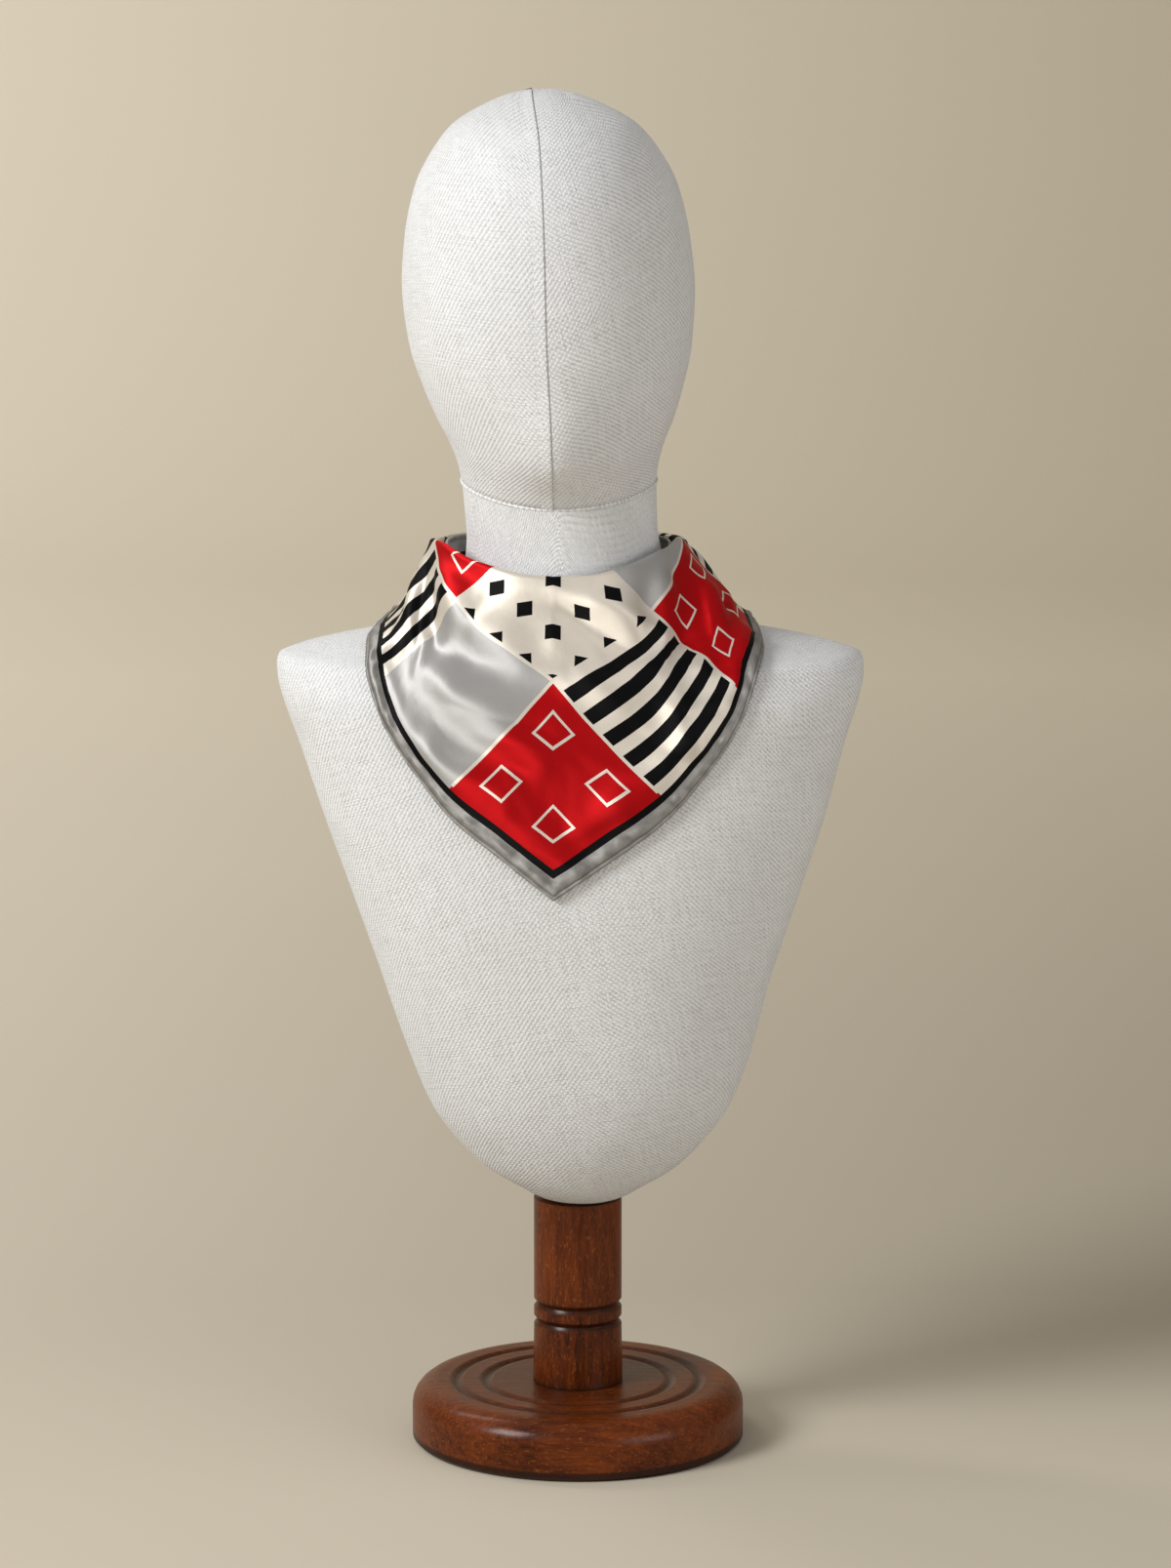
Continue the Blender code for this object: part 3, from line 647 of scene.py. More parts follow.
def grid_faces(rows, columns, start=0, wrap=False, flip=False):
    """Quads of a grid of points, row by row."""
    faces = []
    for r in range(rows - 1):
        for c in range(columns if wrap else columns - 1):
            d = (c + 1) % columns
            face = (r * columns + c, (r + 1) * columns + c, (r + 1) * columns + d, r * columns + d)
            face = tuple(start + i for i in face)
            faces.append(face[::-1] if flip else face)
    return faces


def closed_rings(grid, first, last, flip=False):
    """Points and faces of a closed body through rings of points, with one more point at each end."""
    rows, sides = grid.shape[:2]
    faces = grid_faces(rows, sides, wrap=True, flip=flip)
    end, start = (rows - 1) * sides, rows * sides
    for i in range(sides):
        j = (i + 1) % sides
        for face in ((start, i, j), (start + 1, end + j, end + i)):
            faces.append(face[::-1] if flip else face)
    return np.concatenate((grid.reshape(-1, 3), [first, last])), faces


def shell(name, outer, material, attribute):
    """A thin cloth: the outer grid, one grown inwards, and the rim between them."""
    rows, columns = outer.shape[:2]
    inner = outer - grid_normals(outer) * SHELL
    count = rows * columns
    faces = grid_faces(rows, columns) + grid_faces(rows, columns, count, flip=True)
    rim = [r * columns for r in range(rows)]
    rim += [(rows - 1) * columns + c for c in range(1, columns)]
    rim += [r * columns + columns - 1 for r in range(rows - 2, -1, -1)]
    rim += list(range(columns - 2, 0, -1))
    for a, b in zip(rim, rim[1:] + rim[:1]):
        faces.append((b, a, a + count, b + count))
    points = np.concatenate((outer.reshape(-1, 3), inner.reshape(-1, 3)))
    both = np.concatenate((attribute.reshape(-1, 3), attribute.reshape(-1, 3)))
    return mesh_piece(name, points, faces, material, both)


def tube(name, path, normals, radius, sides, material, attribute, flatten=1.0):
    """A round or flattened tube along a path, with closed ends."""
    tangent = unit(np.gradient(path, axis=0))
    side = unit(np.cross(tangent, normals))
    up = np.cross(side, tangent)
    angle = circle(sides)[:, None]
    ring = side[:, None] * np.cos(angle) + up[:, None] * np.sin(angle) * flatten
    rings = path[:, None] + ring * np.broadcast_to(radius, len(path))[:, None, None]
    points, faces = closed_rings(rings, path[0], path[-1])
    data = np.concatenate((np.repeat(attribute, sides, axis=0), attribute[:1], attribute[-1:]))
    return mesh_piece(name, points, faces, material, data)


def fine_front():
    """The front's outer surface with its fine creases, and its flat places."""
    grid, flat = front_grid()
    first = len(grid) - len(flat)
    neck_flat = flat[0] + (flat[0] - flat[1])
    lower = np.concatenate(([neck_flat], flat))
    share = row_shares(0)
    edge = edge_distance(lower)
    along = (lower[..., 1] + np.abs(lower[..., 0])) / math.sqrt(2.0)
    ripple = PUCKER * (1.0 + waves(along + np.sign(lower[..., 0]) * OTHER_SIDE))
    ripple = ripple * np.exp(-((edge - PUCKER_MIDDLE) / PUCKER_REACH)**2)
    groove_in = HEM_GROOVE * np.exp(-((edge - HEM_WIDE) / HEM_GROOVE_REACH)**2)
    rise = silk_height(lower) * eased(share, FINE_TOP_EASE, FINE_HEM_EASE) + ripple - groove_in
    normals = grid_normals(grid)[first - 1:]
    raised = grid[first - 1:] + normals * rise[..., None]
    grid[first - 1:] = clear_of_form(raised, HEM_CLEAR + SHELL)
    depth = arc_length_rows(grid[:first][::-1])[::-1]
    hidden = neck_flat[None] + unit(neck_flat - lower[1])[None] * depth[..., None]
    flat = np.concatenate((hidden[:-1], lower))
    cloth = np.concatenate((flat, edge_distance(flat)[..., None]), axis=-1)
    return grid, cloth


def arc_length_rows(grid):
    """Distance down each column of a grid, from its first row."""
    steps = np.linalg.norm(np.diff(grid, axis=0), axis=-1)
    return np.concatenate((np.zeros((1, grid.shape[1])), np.cumsum(steps, axis=0)))


def hem_and_stitches(prefix, edge, normals, towards, cloth, silk, thread, set_in=0.0):
    """A rolled hem along an edge, and the slanting stitches that hold it."""
    inward = unit(towards - edge)
    line = edge - normals * (SHELL / 2.0) - inward * set_in
    s = arc_length(line)
    radius = HEM_RADIUS * (1.0 + 0.10 * np.cos(2.0 * math.pi * s / STITCH_STEP))
    hem = tube(prefix + "_hem", line, normals, radius, 10, silk, cloth, flatten=0.9)
    points, faces = [], []
    for k in range(1, int(s[-1] / STITCH_STEP)):
        at = k * STITCH_STEP
        here, out, inn = (np.array([np.interp(at, s, v[:, i]) for i in range(3)])
                          for v in (line, normals, inward))
        run = unit(np.array([np.interp(at + 0.6, s, line[:, i]) for i in range(3)]) - here)
        start = len(points)
        wide = np.cross(out, inn)
        for lift, across, ahead, size in STITCH:
            middle = here + out * lift + inn * across + run * ahead
            points += [middle + (wide * math.cos(a) + out * math.sin(a)) * size for a in circle(5)]
        faces += grid_faces(len(STITCH), 5, start, wrap=True, flip=True)
        faces.append(tuple(range(start, start + 5)))
        faces.append(tuple(range(len(points) - 1, len(points) - 6, -1)))
    stitches = mesh_piece(prefix + "_stitches", points, faces, thread, np.zeros((len(points), 3)))
    return [hem, stitches]


def stand_in(node):
    """The solid is hidden, so that the fine pieces stand in its place."""
    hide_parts(node)


def dress_front(silk, thread):
    """The front drape with its rolled hem."""
    grid, cloth = fine_front()
    obj = shell("silk_front", grid, silk, cloth)
    sewn = hem_and_stitches("silk_front", grid[-1], grid_normals(grid)[-1], grid[-3], cloth[-1], silk, thread,
                            set_in=0.3)
    stand_in("bandana_front")
    return obj, sewn


def band_points(rows):
    """Outer grid of a nape end, its length along and its depth below the top edge."""
    along = arc_length(np.column_stack([column(rows, BAND, n) for n in ("x", "y")]))
    positions = np.linspace(0.0, along[-1], NAPE_COLUMNS + 1)
    x, y, top, bottom = (smooth(along, column(rows, BAND, n), positions) for n in BAND)
    share = np.linspace(0.0, 1.0, NAPE_ROWS + 1)[:, None]
    z = top + (bottom - top) * share
    grid = stacked(x + lean(z), y, z)
    cloth = stacked(positions, top - z, top - z)
    if x[0] < 0.0:
        grid, cloth = grid[:, ::-1], cloth[:, ::-1]
    return grid, cloth


def dress_nape(name, node, rows, silk, thread):
    """One end of the square round the nape, with its hem along the top."""
    grid, cloth = band_points(rows)
    s, depth = cloth[..., 0], cloth[..., 1]
    rise = 0.5 * np.sin(s / 6.1 + depth / 7.0) * np.sin(depth / 9.0) + 0.25 * waves(s) * np.exp(-depth / 6.0)
    grid = clear_of_form(grid, CLOTH_LIFT + CLOTH)
    grid = grid - grid_normals(grid) * (0.35 - 0.35 * rise)[..., None]
    cloth = cloth + np.array((-150.0, 60.0, 0.0))
    obj = shell(name, grid, silk, cloth)
    sewn = hem_and_stitches(name, grid[0], grid_normals(grid)[0], grid[1], cloth[0], silk, thread)
    stand_in(node)
    return obj, sewn


def dress_knot(silk):
    """The knot: a pleated lump with one turn of cloth over its middle."""
    centre = np.array(KNOT_CENTRE) + np.array((float(lean(KNOT_CENTRE[2])), 0.0, 0.0))
    power = 2.0 / KNOT_SQUARENESS
    around = circle(96)
    tilt = np.linspace(-math.pi / 2.0, math.pi / 2.0, 49)[1:-1]
    # The lump's axis runs along x, so that its pleats run from one side to the other
    wide = signed_power(np.sin(tilt), power)[:, None]
    thin = (np.abs(np.cos(tilt))**power)[:, None]
    pleat = 1.0 - PLEAT_DEPTH * (0.5 + 0.5 * np.cos(PLEATS * around + 1.6 * np.sin(around))) * thin
    waist = 1.0 - 0.10 * np.exp(-(np.sin(tilt)[:, None] / 0.25)**2)
    reach = thin * waist * pleat
    points = stacked(KNOT_HALF[0] * wide, KNOT_HALF[1] * signed_power(np.cos(around), power) * reach,
                     KNOT_HALF[2] * signed_power(np.sin(around), power) * reach)
    cloth = stacked(around * 14.0, wide * 14.0 + 90.0, 30.0)
    end = np.array((KNOT_HALF[0], 0.0, 0.0))
    points, faces = closed_rings(points + centre, centre - end, centre + end)
    cloth = np.concatenate((cloth.reshape(-1, 3), ((0.0, 90.0, 30.0), (0.0, 90.0, 30.0))))
    obj = mesh_piece("silk_knot", points, faces, silk, cloth)
    # One turn of cloth round the middle
    across = np.linspace(-1.0, 1.0, 13)[:, None]
    out = 1.02 + (1.0 - across**2) / 18.0 + 0.006 * np.cos(across * 9.0)
    y = (KNOT_HALF[1] - 0.9) * signed_power(np.cos(around), power)
    z = (KNOT_HALF[2] - 1.0) * signed_power(np.sin(around), power)
    x = across * KNOT_TURN_HALF * (1.0 + 0.25 * np.sin(around)) + 0.14 * z
    band = stacked(x, y * out, z * out) + centre
    cloth = stacked(across * KNOT_TURN_HALF, around * 11.0 + 40.0, 20.0)
    faces = grid_faces(*x.shape, wrap=True, flip=True)
    turn = mesh_piece("silk_knot_turn", band.reshape(-1, 3), faces, silk, cloth.reshape(-1, 3))
    stand_in("bandana_knot")
    return [obj, turn]


def dress_tail(name, node, rows, silk, thread):
    """One free corner of the square, pleated where it leaves the knot."""
    along = arc_length(np.column_stack([column(rows, TAIL, n) for n in ("x", "y", "z")]))
    positions = np.linspace(0.0, along[-1], TAIL_ROWS + 1)[:, None]
    x, y, z, half_width = (smooth(along, column(rows, TAIL, n), positions) for n in TAIL)
    share = np.linspace(1.0, -1.0, TAIL_COLUMNS + 1)
    pleats = np.exp(-positions / 16.0) * np.cos(share * 7.5 + 0.4)
    rise = 0.7 * pleats + 0.5 * np.sin(share * 2.6 + positions / 11.0)
    grid = clear_of_form(stacked(x + lean(z) + half_width * share, y, z), CLOTH_LIFT + CLOTH)
    grid = grid + grid_normals(grid) * (rise * 0.6)[..., None]
    grid = clear_of_form(grid, SHELL + 0.5)
    left = along[-1] - positions
    cloth = stacked(share * half_width, left, left * (1.0 - np.abs(share)) / math.sqrt(2.0))
    obj = shell(name, grid, silk, cloth)
    normals = grid_normals(grid)
    sewn = []
    for label, c in (("_a", 0), ("_b", -1)):
        edge = grid[:, c]
        inward = grid[:, TAIL_COLUMNS // 2] - edge
        inward[-1] = inward[-2]     # at the tip the edge is too close to the middle
        sewn += hem_and_stitches(name + label, edge, normals[:, c], edge + inward, cloth[:, c], silk, thread)
    stand_in(node)
    return obj, sewn


def form_surface(rows, heights, sides, first_shift, last_shift):
    """Rings of the form, with each point's way round and up the linen in millimetres."""
    shifts = [first_shift] + [0.0] * (len(heights) - 2) + [last_shift]
    grid = np.array([form_ring(rows, height, sides, shift) for height, shift in zip(heights, shifts)])
    front = round(sides * 0.75)
    rolled = np.roll(grid, -front, axis=1)
    steps = np.linalg.norm(np.diff(rolled, axis=1), axis=-1)
    way = np.concatenate((np.zeros((len(grid), 1)), np.cumsum(steps, axis=1)), axis=1)
    total = way[:, -1:] + np.linalg.norm(rolled[:, :1] - rolled[:, -1:], axis=-1)
    way = np.where(way > total / 2.0, way - total, way)
    way = np.roll(way, front, axis=1)
    up = arc_length_rows(grid)
    return grid, stacked(way, up, 0.0)


def closed_loft(name, grid, cloth, low, high, material):
    """A closed body through rings that run upwards. The linen's places are kept by corner, so that those of
    the faces at the centre back, where the two halves meet, run on past the half's own end."""
    points, faces = closed_rings(grid, low, high, flip=True)
    data = np.concatenate((cloth.reshape(-1, 3), [cloth[0].mean(axis=0), cloth[-1].mean(axis=0)]))
    corners = []
    for face in faces:
        values = data[list(face)]
        way = values[:, 0] - data[-2, 0]
        if np.ptp(way) > BACK_JUMP and len(face) == 4:
            values[way < 0.0, 0] += 2.0 * way.max()
        corners.append(values)
    return mesh_piece(name, points, faces, material, np.concatenate(corners))


def dress_form(linen):
    """Linen bust and head on the solids' own sections."""
    low = BODY_FOOT + (SEAM_HIGH - BODY_FOOT) * np.linspace(0.0, 1.0, BODY_RINGS)
    grid, cloth = form_surface(BODY, low, BODY_SIDES, 0.0, -SEAM_GAP / 2.0)
    body = closed_loft("linen_bust", grid, cloth, grid[0].mean(axis=0), grid[-1].mean(axis=0), linen)
    stand_in("form_body")
    turn = np.linspace(0.0, math.pi / 2.0, HEAD_RINGS + 1)[:-1]
    high = SEAM_HIGH + (CROWN - SEAM_HIGH) * np.sin(turn)
    grid, cloth = form_surface(HEAD, high, HEAD_SIDES, SEAM_GAP / 2.0, 0.0)
    cloth = cloth + np.array((HEAD_CLOTH, 0.0, 0.0))
    crown = np.array([float(lean(CROWN)), HEAD[-1][3], CROWN])
    head = closed_loft("linen_head", grid, cloth, grid[0].mean(axis=0), crown, linen)
    stand_in("form_head")


def head_seam(linen):
    """The folded edge that runs from the neck up the front, over the crown and down the back."""
    turn = np.linspace(0.0, math.pi / 2.0, 140)
    high = SEAM_HIGH + (CROWN - SEAM_HIGH) * np.sin(turn)
    shift = np.array(SEAM_SHIFT)
    half_width, half_depth, middle, _ = section(HEAD, high)
    wide = np.maximum(half_width, 0.5)
    halves = []
    for sign in (-1.0, 1.0):
        rows = []
        for across, rise in SEAM_EDGE:
            place = smooth(shift[:, 0], shift[:, 1], high) + across
            sine = np.clip(place / wide, -0.95, 0.95)
            angle = sign * (math.pi / 2.0 - sine)
            x = half_width * sine + lean(high)
            y = middle + sign * half_depth * np.cos(np.arcsin(sine))
            y -= chin(half_width * sine, high) * (sign < 0.0)
            rows.append(stacked(x, y, high - seam_dip(angle, high)))
        halves.append(np.array(rows))
    ring = np.concatenate((halves[0], halves[1][:, ::-1][:, 1:]), axis=1)
    out = grid_normals(ring)
    place, rise = np.array(SEAM_EDGE).T
    top = ring + out * rise[:, None, None]
    under = ring[[-1, 0]] - out[[-1, 0]] * 0.9
    loop = np.swapaxes(np.concatenate((top, under)), 0, 1)
    data = np.zeros(loop.shape)
    data[..., 0] = HEAD_CLOTH + np.append(place, (0.8, -7.0))
    data[..., 1] = arc_length(ring[len(SEAM_EDGE) // 2])[:, None]
    data[:, 8:10, 2] = 0.40     # the shadow beside the fold
    faces = grid_faces(loop.shape[0], loop.shape[1], wrap=True, flip=True)
    return mesh_piece("linen_head_seam", loop.reshape(-1, 3), faces, linen, data.reshape(-1, 3))


def dress_seams(linen):
    """The folded seam over the head, and the ones round the neck and down the bust's back."""
    angle = np.linspace(0.0, 2.0 * math.pi, 181)
    half_width, half_depth, middle, _ = section(BODY, SEAM_HIGH)
    line = stacked(half_width * np.cos(angle) + lean(SEAM_HIGH), middle + half_depth * np.sin(angle),
                   SEAM_HIGH - seam_dip(angle, SEAM_HIGH))
    out = stacked(np.cos(angle), np.sin(angle), 0.0)
    cloth = stacked(arc_length(line), 3.0, 0.0)
    neck = tube("linen_neck_seam", line + out * 0.25, out, 0.95, 10, linen, cloth, flatten=0.8)
    crest = head_seam(linen)
    high = np.linspace(SEAM_HIGH - 1.5, BODY_FOOT + 4.0, 220)
    half_depth, middle = section(BODY, high)[1:3]
    line = stacked(lean(high), middle + half_depth, high)
    out = stacked(0.0 * high, 1.0, 0.0)
    back = tube("linen_back_seam", line, out, 0.9, 10, linen, stacked(260.0, high, 0.0), flatten=0.55)


def turned_piece(name, node, profile, shade, steps, material):
    """A turned piece; shade says how dark each point of the profile is painted, with painted shade in its
    grooves and where its parts meet.
    """
    profile = np.array(profile)
    angle = circle(steps)
    r, z = profile[1:-1, :1], profile[1:-1, 1:]
    grid = stacked(r * np.cos(angle), r * np.sin(angle), z)
    points, faces = closed_rings(grid, (0.0, 0.0, profile[0][1]), (0.0, 0.0, profile[-1][1]))
    dark = np.array([shade(*point) for point in profile])
    data = np.zeros((len(points), 3))
    data[:, 0] = np.concatenate((np.repeat(dark[1:-1], steps), dark[[0, -1]]))
    obj = mesh_piece(name, points, faces, material, data)
    obj.data.set_sharp_from_angle(angle=math.radians(40.0))
    stand_in(node)


def refined(profile, step):
    """A profile with points at most a step apart."""
    result = [profile[0]]
    for a, b in zip(profile, profile[1:]):
        pieces = max(1, int(math.hypot(b[0] - a[0], b[1] - a[1]) / step))
        result += [(a[0] + (b[0] - a[0]) * i / pieces, a[1] + (b[1] - a[1]) * i / pieces)
                   for i in range(1, pieces + 1)]
    return result


def base_shade(r, z):
    """Painted shade in the ring grooves and round the post; the inner disc and a band along the foot are darker.
    """
    # painted shade in the grooves and round the post's foot
    rings = 0.8 * max(math.exp(-((r - ring) / 3.4)**2) for ring in RING_GROOVES)
    post = 0.8 * math.exp(-max(r - POST_RADIUS, 0.0) / 3.0)
    # the disc inside the inner groove is darker
    inner_disc = 0.30 if r < RING_GROOVES[0] else 0.0
    return max(rings, post, inner_disc) if z > 20.0 else 1.0 if z < 4.8 else 0.0


def post_shade(r, z):
    """Painted shade in the post's grooves and where it meets the base."""
    grooves = max(math.exp(-((z - height) / 2.2)**2) for height in POST_GROOVES)
    return max(grooves, 0.9 * math.exp(-(z - BASE_HEIGHT) / 4.0))


class Value:
    """A node's output, with sums that add the nodes they need."""

    def __init__(self, nodes, socket):
        self.nodes = nodes
        self.socket = socket

    def __add__(self, other):
        return self.nodes.math("ADD", self, other)

    def __sub__(self, other):
        return self.nodes.math("SUBTRACT", self, other)

    def __rsub__(self, other):
        return self.nodes.math("SUBTRACT", other, self)

    def __mul__(self, other):
        return self.nodes.math("MULTIPLY", self, other)

    def __truediv__(self, other):
        return self.nodes.math("DIVIDE", self, other)

    def __abs__(self):
        return self.nodes.math("ABSOLUTE", self)


class Nodes:
    """Short calls for building a material's nodes."""

    def __init__(self, name):
        self.material = bpy.data.materials.new(name)
        self.material.use_nodes = True
        self.tree = self.material.node_tree
        self.shader = self.tree.nodes["Principled BSDF"]

    def plug(self, socket, value):
        """Join a node's output to a socket, or set the socket's value."""
        if isinstance(value, Value):
            self.tree.links.new(value.socket, socket)
        else:
            socket.default_value = (*value, 1.0) if socket.type == "RGBA" else value

    def shade(self, values):
        """Set or join the shader's inputs, by their names."""
        for name, value in values.items():
            self.plug(self.shader.inputs[name], value)

    def node(self, kind, values=()):
        """A new node with values in its inputs, by their names or places."""
        node = self.tree.nodes.new("ShaderNode" + kind)
        for key, value in values:
            self.plug(node.inputs[key], value)
        return node

    def parts(self, socket):
        """The three parts of a vector output."""
        return [Value(self, part) for part in self.node("SeparateXYZ", [(0, Value(self, socket))]).outputs]

    def math(self, operation, *values):
        node = self.node("Math", enumerate(values))
        node.operation = operation
        return Value(self, node.outputs[0])

    def under(self, value, limit):
        return self.math("LESS_THAN", value, limit)

    def over(self, value, limit):
        return self.math("GREATER_THAN", value, limit)

    def mix(self, factor, a, b):
        """A colour between two."""
        node = self.node("Mix")
        node.data_type = "RGBA"
        colours = [socket for socket in node.inputs if socket.type == "RGBA"]
        for socket, value in zip([node.inputs["Factor"]] + colours, (factor, a, b)):
            self.plug(socket, value)
        return Value(self, [socket for socket in node.outputs if socket.type == "RGBA"][0])

    def vector(self, x, y, z=0.0):
        return Value(self, self.node("CombineXYZ", enumerate((x, y, z))).outputs[0])

    def noise(self, vector, scale, detail=2.0, roughness=0.5):
        names = ("Vector", "Scale", "Detail", "Roughness")
        node = self.node("TexNoise", zip(names, (vector, scale, detail, roughness)))
        return Value(self, node.outputs["Fac"])

    def spread(self, value, low, high, to_low=0.0, to_high=1.0):
        """The value, moved from one range to another and held inside it."""
        names = ("Value", "From Min", "From Max", "To Min", "To Max")
        node = self.node("MapRange", zip(names, (value, low, high, to_low, to_high)))
        return Value(self, node.outputs["Result"])

    def attribute(self):
        """Place in the flat cloth, and the third value kept with it."""
        node = self.node("Attribute")
        node.attribute_name = "cloth"
        return self.parts(node.outputs["Vector"])

    def position(self, scale=1.0):
        return [part * scale for part in self.parts(self.node("TexCoord").outputs["Object"])]

    def bump(self, height, strength, distance):
        values = (("Height", height), ("Strength", strength), ("Distance", distance))
        self.plug(self.shader.inputs["Normal"], Value(self, self.node("Bump", values).outputs[0]))


RED = (0.52, 0.002, 0.005)
CREAM = (0.82, 0.765, 0.685)
BLACK = (0.003, 0.003, 0.0035)
GREY = (0.50, 0.495, 0.49)
BORDER_GREY = (0.355, 0.345, 0.333)
SHADOW = (0.10, 0.095, 0.09)    # of a groove or a fold in cloth
DIAGONAL = 0.70711
STRIPES = 5.47                  # on one printed square
SMALL_SQUARES = 3.5
LOZENGES = 2.0


def silk_material():
    """Printed satin: squares of four fills, a grey border and a black line, with painted shade in the border and
    beside the hem.
    """
    n = Nodes("silk_print")
    x, y, edge = n.attribute()
    inset = BORDER + LINE
    cu = ((y - x) * DIAGONAL - inset) / PATCH
    cv = ((y + x) * DIAGONAL - inset) / PATCH

    def from_middle(place):
        """How far a place lies from the middle of its repeat."""
        return abs(n.math("FRACT", place) - 0.5)

    kind = n.math("FLOORED_MODULO", n.math("FLOOR", cu) + n.math("FLOOR", cv) * 2.0 + 3.0, 4.0)
    stripe = n.over(n.math("FRACT", n.math("FRACT", cu) * STRIPES), 0.47)
    square = n.under(from_middle(cu * SMALL_SQUARES) + from_middle(cv * SMALL_SQUARES), 0.27)
    out = n.math("MAXIMUM", from_middle(cu * LOZENGES), from_middle(cv * LOZENGES))
    ring = n.over(out, 0.170) * n.under(out, 0.210)
    low = n.mix(n.over(kind, 0.5), GREY, n.mix(stripe, CREAM, BLACK))
    high = n.mix(n.over(kind, 2.5), n.mix(square, CREAM, BLACK), n.mix(ring, RED, CREAM))
    colour = n.mix(n.over(kind, 1.5), low, high)
    near = 0.5 - n.math("MAXIMUM", from_middle(cu), from_middle(cv))
    colour = n.mix(n.under(near, 0.9 / PATCH) * n.over(edge, inset + 2.0), colour, CREAM)
    colour = n.mix(n.under(edge, inset), colour, BLACK)
    colour = n.mix(n.under(edge, BORDER), colour, BORDER_GREY)
    # painted shade: noisy dark smudges in the grey border, standing in for the shade of its puckers
    painted_pucker_shade = n.spread(n.noise(n.vector(x, y, 6.0), 0.16, 2.0), 0.42, 0.68, 0.0, 0.42)
    colour = n.mix(n.under(edge, BORDER) * painted_pucker_shade, colour, (0.12, 0.115, 0.11))
    beside = abs(edge - HEM_WIDE)
    colour = n.mix(n.spread(beside, 0.15, 0.55, 0.55, 0.0), colour, SHADOW)
    grain = n.noise(n.vector(x, y), 1.6, 2.0)
    cloudy = n.noise(n.vector(x, y), 0.035, 3.0)
    tone = n.spread(grain, 0.2, 0.8, -0.05, 0.05) + n.spread(cloudy, 0.3, 0.7, 0.94, 1.04)
    shaded = n.node("VectorMath")
    shaded.operation = "SCALE"
    n.plug(shaded.inputs[0], colour)
    n.plug(shaded.inputs["Scale"], tone)
    around = n.node("Tangent")
    around.direction_type = "RADIAL"
    around.axis = "Z"
    n.shade({"Base Color": Value(n, shaded.outputs[0]), "Roughness": n.spread(cloudy, 0.3, 0.7, 0.60, 0.65),
             "Metallic": 0.70, "Anisotropic": 0.80, "Anisotropic Rotation": 0.333,
             "Tangent": Value(n, around.outputs[0]), "Specular IOR Level": 0.35})
    fine = n.noise(n.vector(x, y * 0.35), 3.2, 2.0)
    soft = n.noise(n.vector(x, y, 3.0), 0.14, 3.0)
    n.bump(fine * 0.03 + soft * 0.5, 0.35, 0.001)
    return n.material


def thread_material(name, colour):
    """Sewing thread with a slight twist."""
    n = Nodes(name)
    twist = n.noise(n.vector(*n.position(1000.0)), 2.5, 1.0)
    dark = tuple(0.7 * c for c in colour)
    n.shade({"Base Color": n.mix(n.spread(twist, 0.35, 0.65), dark, colour),
             "Roughness": n.spread(twist, 0.3, 0.7, 0.45, 0.6)})
    return n.material


def linen_material():
    """Plain weave linen with slubs, threads that run a little crooked and small darker gaps."""
    n = Nodes("linen_weave")
    a, b, fold = n.attribute()
    p = a + b * 0.22 + n.spread(n.noise(n.vector(a, b, 1.0), 0.011, 1.0), 0.3, 0.7, -2.5, 2.5)
    q = b - a * 0.18 + n.spread(n.noise(n.vector(a, b, 7.0), 0.011, 1.0), 0.3, 0.7, -3.0, 3.0)
    ribs = n.math("SINE", (p + q) * (DIAGONAL * 2.0 * math.pi / THREADS[0]))
    cross = n.math("SINE", (p - q) * (DIAGONAL * 2.0 * math.pi / THREADS[1]))
    slub_a = n.noise(n.vector(p * 1.2, q * 0.05), 1.0, 2.0)
    slub_b = n.noise(n.vector(p * 0.05, q * 1.2, 5.0), 1.0, 2.0)
    slubs = n.spread(slub_a, 0.25, 0.75, -1.0, 1.0) + n.spread(slub_b, 0.25, 0.75, -1.0, 1.0)
    speck = n.spread(n.noise(n.vector(p, q, 9.0), 0.9, 3.0, 0.7), 0.25, 0.75, -1.0, 1.0)
    # The ribs show more on one side of the head and bust, the cross threads on the other
    side = a + n.spread(n.noise(n.vector(a, b, 4.0), 0.02, 2.0), 0.3, 0.7, -40.0, 40.0)
    side = n.spread(n.math("WRAP", side, 250.0, -250.0), -30.0, 30.0)
    height = (ribs * n.spread(side, 0.0, 1.0, 0.25, 0.65) + cross * n.spread(side, 0.0, 1.0, 0.65, 0.25)
              + ribs * cross * 0.35 + slubs * 0.40 + speck * 0.6)
    patch = n.noise(n.vector(a, b, 2.0), 0.012, 3.0)
    thread = n.mix(n.spread(patch, 0.3, 0.7), (0.722, 0.737, 0.750), (0.788, 0.808, 0.830))
    colour = n.mix(n.spread(height, -1.6, 0.35), (0.37, 0.355, 0.34), thread)
    n.shade({"Base Color": n.mix(fold, colour, SHADOW), "Roughness": n.spread(height, -1.0, 1.0, 0.95, 0.82),
             "Specular IOR Level": 0.25, "Sheen Weight": 0.12, "Sheen Roughness": 0.6})
    n.bump(height, 0.5, 0.0004)
    return n.material


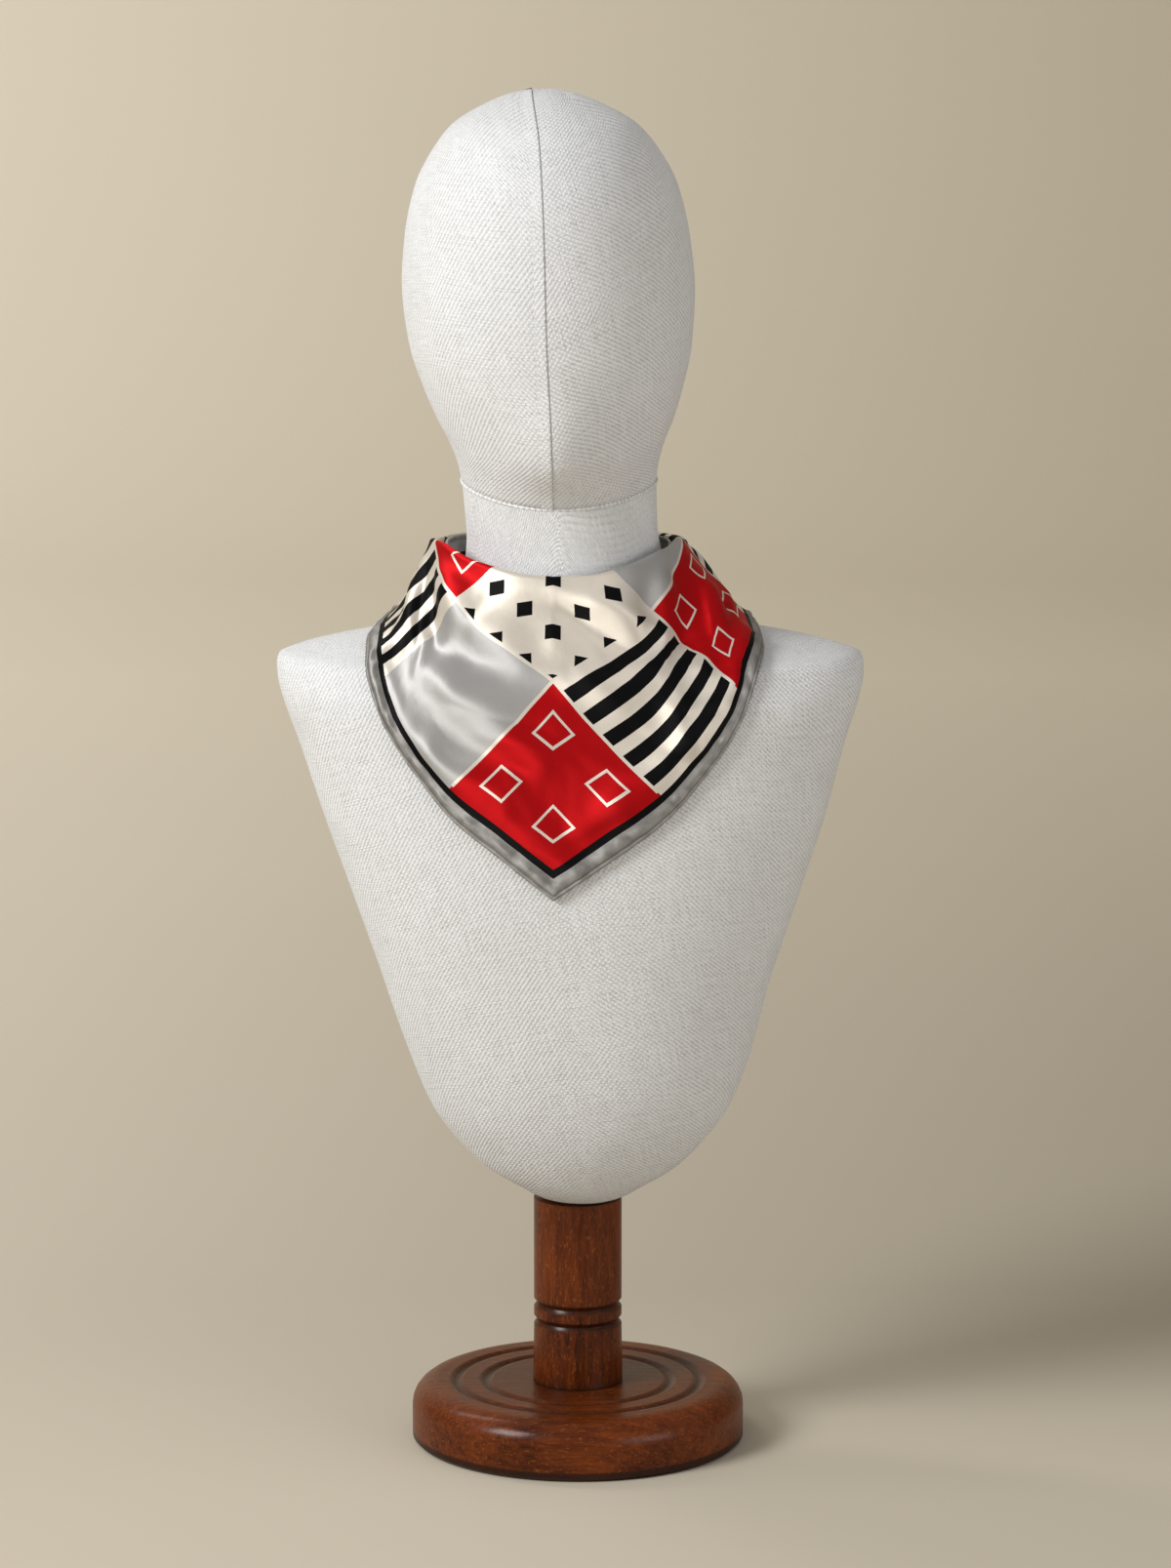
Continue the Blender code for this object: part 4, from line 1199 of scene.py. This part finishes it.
def wood_material(name, upright):
    """Stained hardwood under varnish: grain, short light flecks, and painted shade in the grooves."""
    n = Nodes(name)
    x, y, z = n.position(1000.0)
    # painted shade in grooves and joints, and darker bands, as the profile gives them
    dark = n.attribute()[0]
    grain_at = n.vector(x, y, z * 0.12) if upright else n.vector(x * 0.10, y, z)
    fleck_at = n.vector(x * 0.9, y * 0.9, z * 0.30) if upright else n.vector(x * 0.30, y * 0.9, z * 0.9)
    grain = n.noise(grain_at, 0.35, 5.0, 0.6)
    broad = n.noise(n.vector(x, y, z), 0.022, 3.0)
    flecks = n.noise(fleck_at, 1.05, 3.0, 0.65)
    pores = n.noise(grain_at, 1.6, 2.0)
    wood = n.mix(n.spread(grain * 0.6 + broad * 0.5, 0.35, 0.75), (0.026, 0.0036, 0.0004), (0.168, 0.034, 0.004))
    wood = n.mix(n.spread(flecks, 0.56, 0.74, 0.0, 0.48), wood, (0.38, 0.12, 0.024))
    wood = n.mix(n.spread(pores, 0.58, 0.76, 0.0, 0.7), wood, (0.02, 0.006, 0.003))
    n.shade({"Base Color": n.mix(dark * 0.85, wood, (0.012, 0.005, 0.003)),
             "Roughness": n.spread(broad, 0.3, 0.7, 0.34, 0.46), "Specular IOR Level": 0.05,
             "Coat Weight": 0.27, "Coat Roughness": 0.23})
    n.bump(grain * 0.5 + flecks * 0.5, 0.25, 0.0004)
    return n.material


def stage_material():
    """Pale paper for the floor and the sweep far behind, with painted light and shade: darker towards the right,
    lighter far behind.
    """
    n = Nodes("stage_paper")
    x, y, z = n.position()
    cloud = n.spread(n.noise(n.vector(x, y, z), 0.7, 3.0), 0.3, 0.7, -0.05, 0.05)
    # painted shade: the floor darkens towards the right behind the object
    painted_shade_right = (n.spread(x, -0.45, 0.45) + cloud) * n.spread(y, -0.12, 0.3, 0.05, 1.0)
    near = n.mix(painted_shade_right, (0.560, 0.505, 0.410), (0.340, 0.300, 0.230))
    # painted light and shade on the sweep: lighter than the floor far behind, darker to the right
    far = n.mix(n.spread(x, -0.8, 0.8) + cloud, (0.78, 0.71, 0.585), (0.58, 0.52, 0.40))
    n.shade({"Base Color": n.mix(n.spread(y, 0.2, 2.6), near, far), "Roughness": 0.9, "Specular IOR Level": 0.1})
    return n.material


def build_stage():
    """Floor that sweeps up far behind the object."""
    rows = [(-STAGE_REACH, 0.0), (0.0, 0.0), (STAGE_BACK - STAGE_CURVE, 0.0)]
    for i in range(1, 17):
        turn = math.pi / 2.0 * i / 16
        rows.append((STAGE_BACK - STAGE_CURVE * (1.0 - math.sin(turn)), STAGE_CURVE * (1.0 - math.cos(turn))))
    rows.append((STAGE_BACK, 6.0))
    verts = [(x, y, z) for y, z in rows for x in (-STAGE_REACH, STAGE_REACH)]
    faces = [(2 * r, 2 * r + 1, 2 * r + 3, 2 * r + 2) for r in range(len(rows) - 1)]
    mesh = bpy.data.meshes.new("stage")
    mesh.from_pydata(verts, [], faces)
    mesh.shade_smooth()
    mesh.materials.append(stage_material())
    obj = bpy.data.objects.new("stage", mesh)
    bpy.context.scene.collection.objects.link(obj)


def area_light(name, place, target, size, power, colour):
    """A soft box that faces a point."""
    data = bpy.data.lights.new(name, "AREA")
    data.shape = "RECTANGLE"
    data.size, data.size_y = size
    data.energy = power
    data.color = colour
    obj = bpy.data.objects.new(name, data)
    bpy.context.scene.collection.objects.link(obj)
    obj.location = place
    aim = np.array(target) - np.array(place)
    flat = math.hypot(aim[0], aim[1])
    obj.rotation_euler = (math.pi / 2.0 + math.atan2(aim[2], flat), 0.0, math.atan2(-aim[0], aim[1]))


def build_lights():
    """A soft light from the upper left, a weak one from the right, one for the sweep and the room's own."""
    area_light("key", (-2.1, -1.5, 1.8), (0.0, 0.0, 0.45), (1.1, 1.1), 76.0, (1.0, 0.995, 0.985))
    area_light("fill", (2.2, -1.9, 0.35), (0.0, 0.0, 0.40), (1.8, 1.8), 29.0, (1.0, 0.965, 0.935))
    area_light("backdrop", (-2.2, 1.6, 3.2), (-0.4, 4.8, 0.5), (2.0, 1.0), 55.0, (1.0, 0.99, 0.97))
    world = bpy.data.worlds.new("room")
    world.use_nodes = True
    world.node_tree.nodes["Background"].inputs["Color"].default_value = (1.0, 0.98, 0.955, 1.0)
    world.node_tree.nodes["Background"].inputs["Strength"].default_value = 0.41
    bpy.context.scene.world = world
    bpy.context.scene.view_settings.view_transform = "Standard"


def build_camera():
    """The photograph's own view."""
    data = bpy.data.cameras.new("view")
    data.sensor_fit = "VERTICAL"
    data.sensor_height = 36.0
    data.lens = LENS
    obj = bpy.data.objects.new("view", data)
    bpy.context.scene.collection.objects.link(obj)
    obj.location = CAMERA
    obj.rotation_euler = (math.pi / 2.0 - math.radians(CAMERA_DOWN), 0.0, 0.0)
    bpy.context.scene.camera = obj


def main():
    silk = silk_material()
    thread = thread_material("hem_thread", (0.42, 0.41, 0.39))
    linen = linen_material()
    dress_form(linen)
    dress_seams(linen)
    front, on_front = dress_front(silk, thread)
    left, on_left = dress_nape("silk_nape_left", "bandana_nape_left", NAPE_LEFT, silk, thread)
    right, on_right = dress_nape("silk_nape_right", "bandana_nape_right", NAPE_RIGHT, silk, thread)
    knot = dress_knot(silk)
    tail_left, on_tail_left = dress_tail("silk_tail_left", "bandana_tail_left", TAIL_LEFT, silk, thread)
    tail_right, on_tail_right = dress_tail("silk_tail_right", "bandana_tail_right", TAIL_RIGHT, silk, thread)
    turned_piece("wood_base", "stand_base", refined(base_profile(), 1.2), base_shade, 160,
                 wood_material("wood_flat", False))
    turned_piece("wood_post", "stand_post", refined(post_profile(), 1.5), post_shade, 96,
                 wood_material("wood_upright", True))
    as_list(on_front)
    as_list(on_right)
    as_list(on_tail_left)
    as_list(on_tail_right)
    build_stage()
    build_lights()
    build_camera()


main()
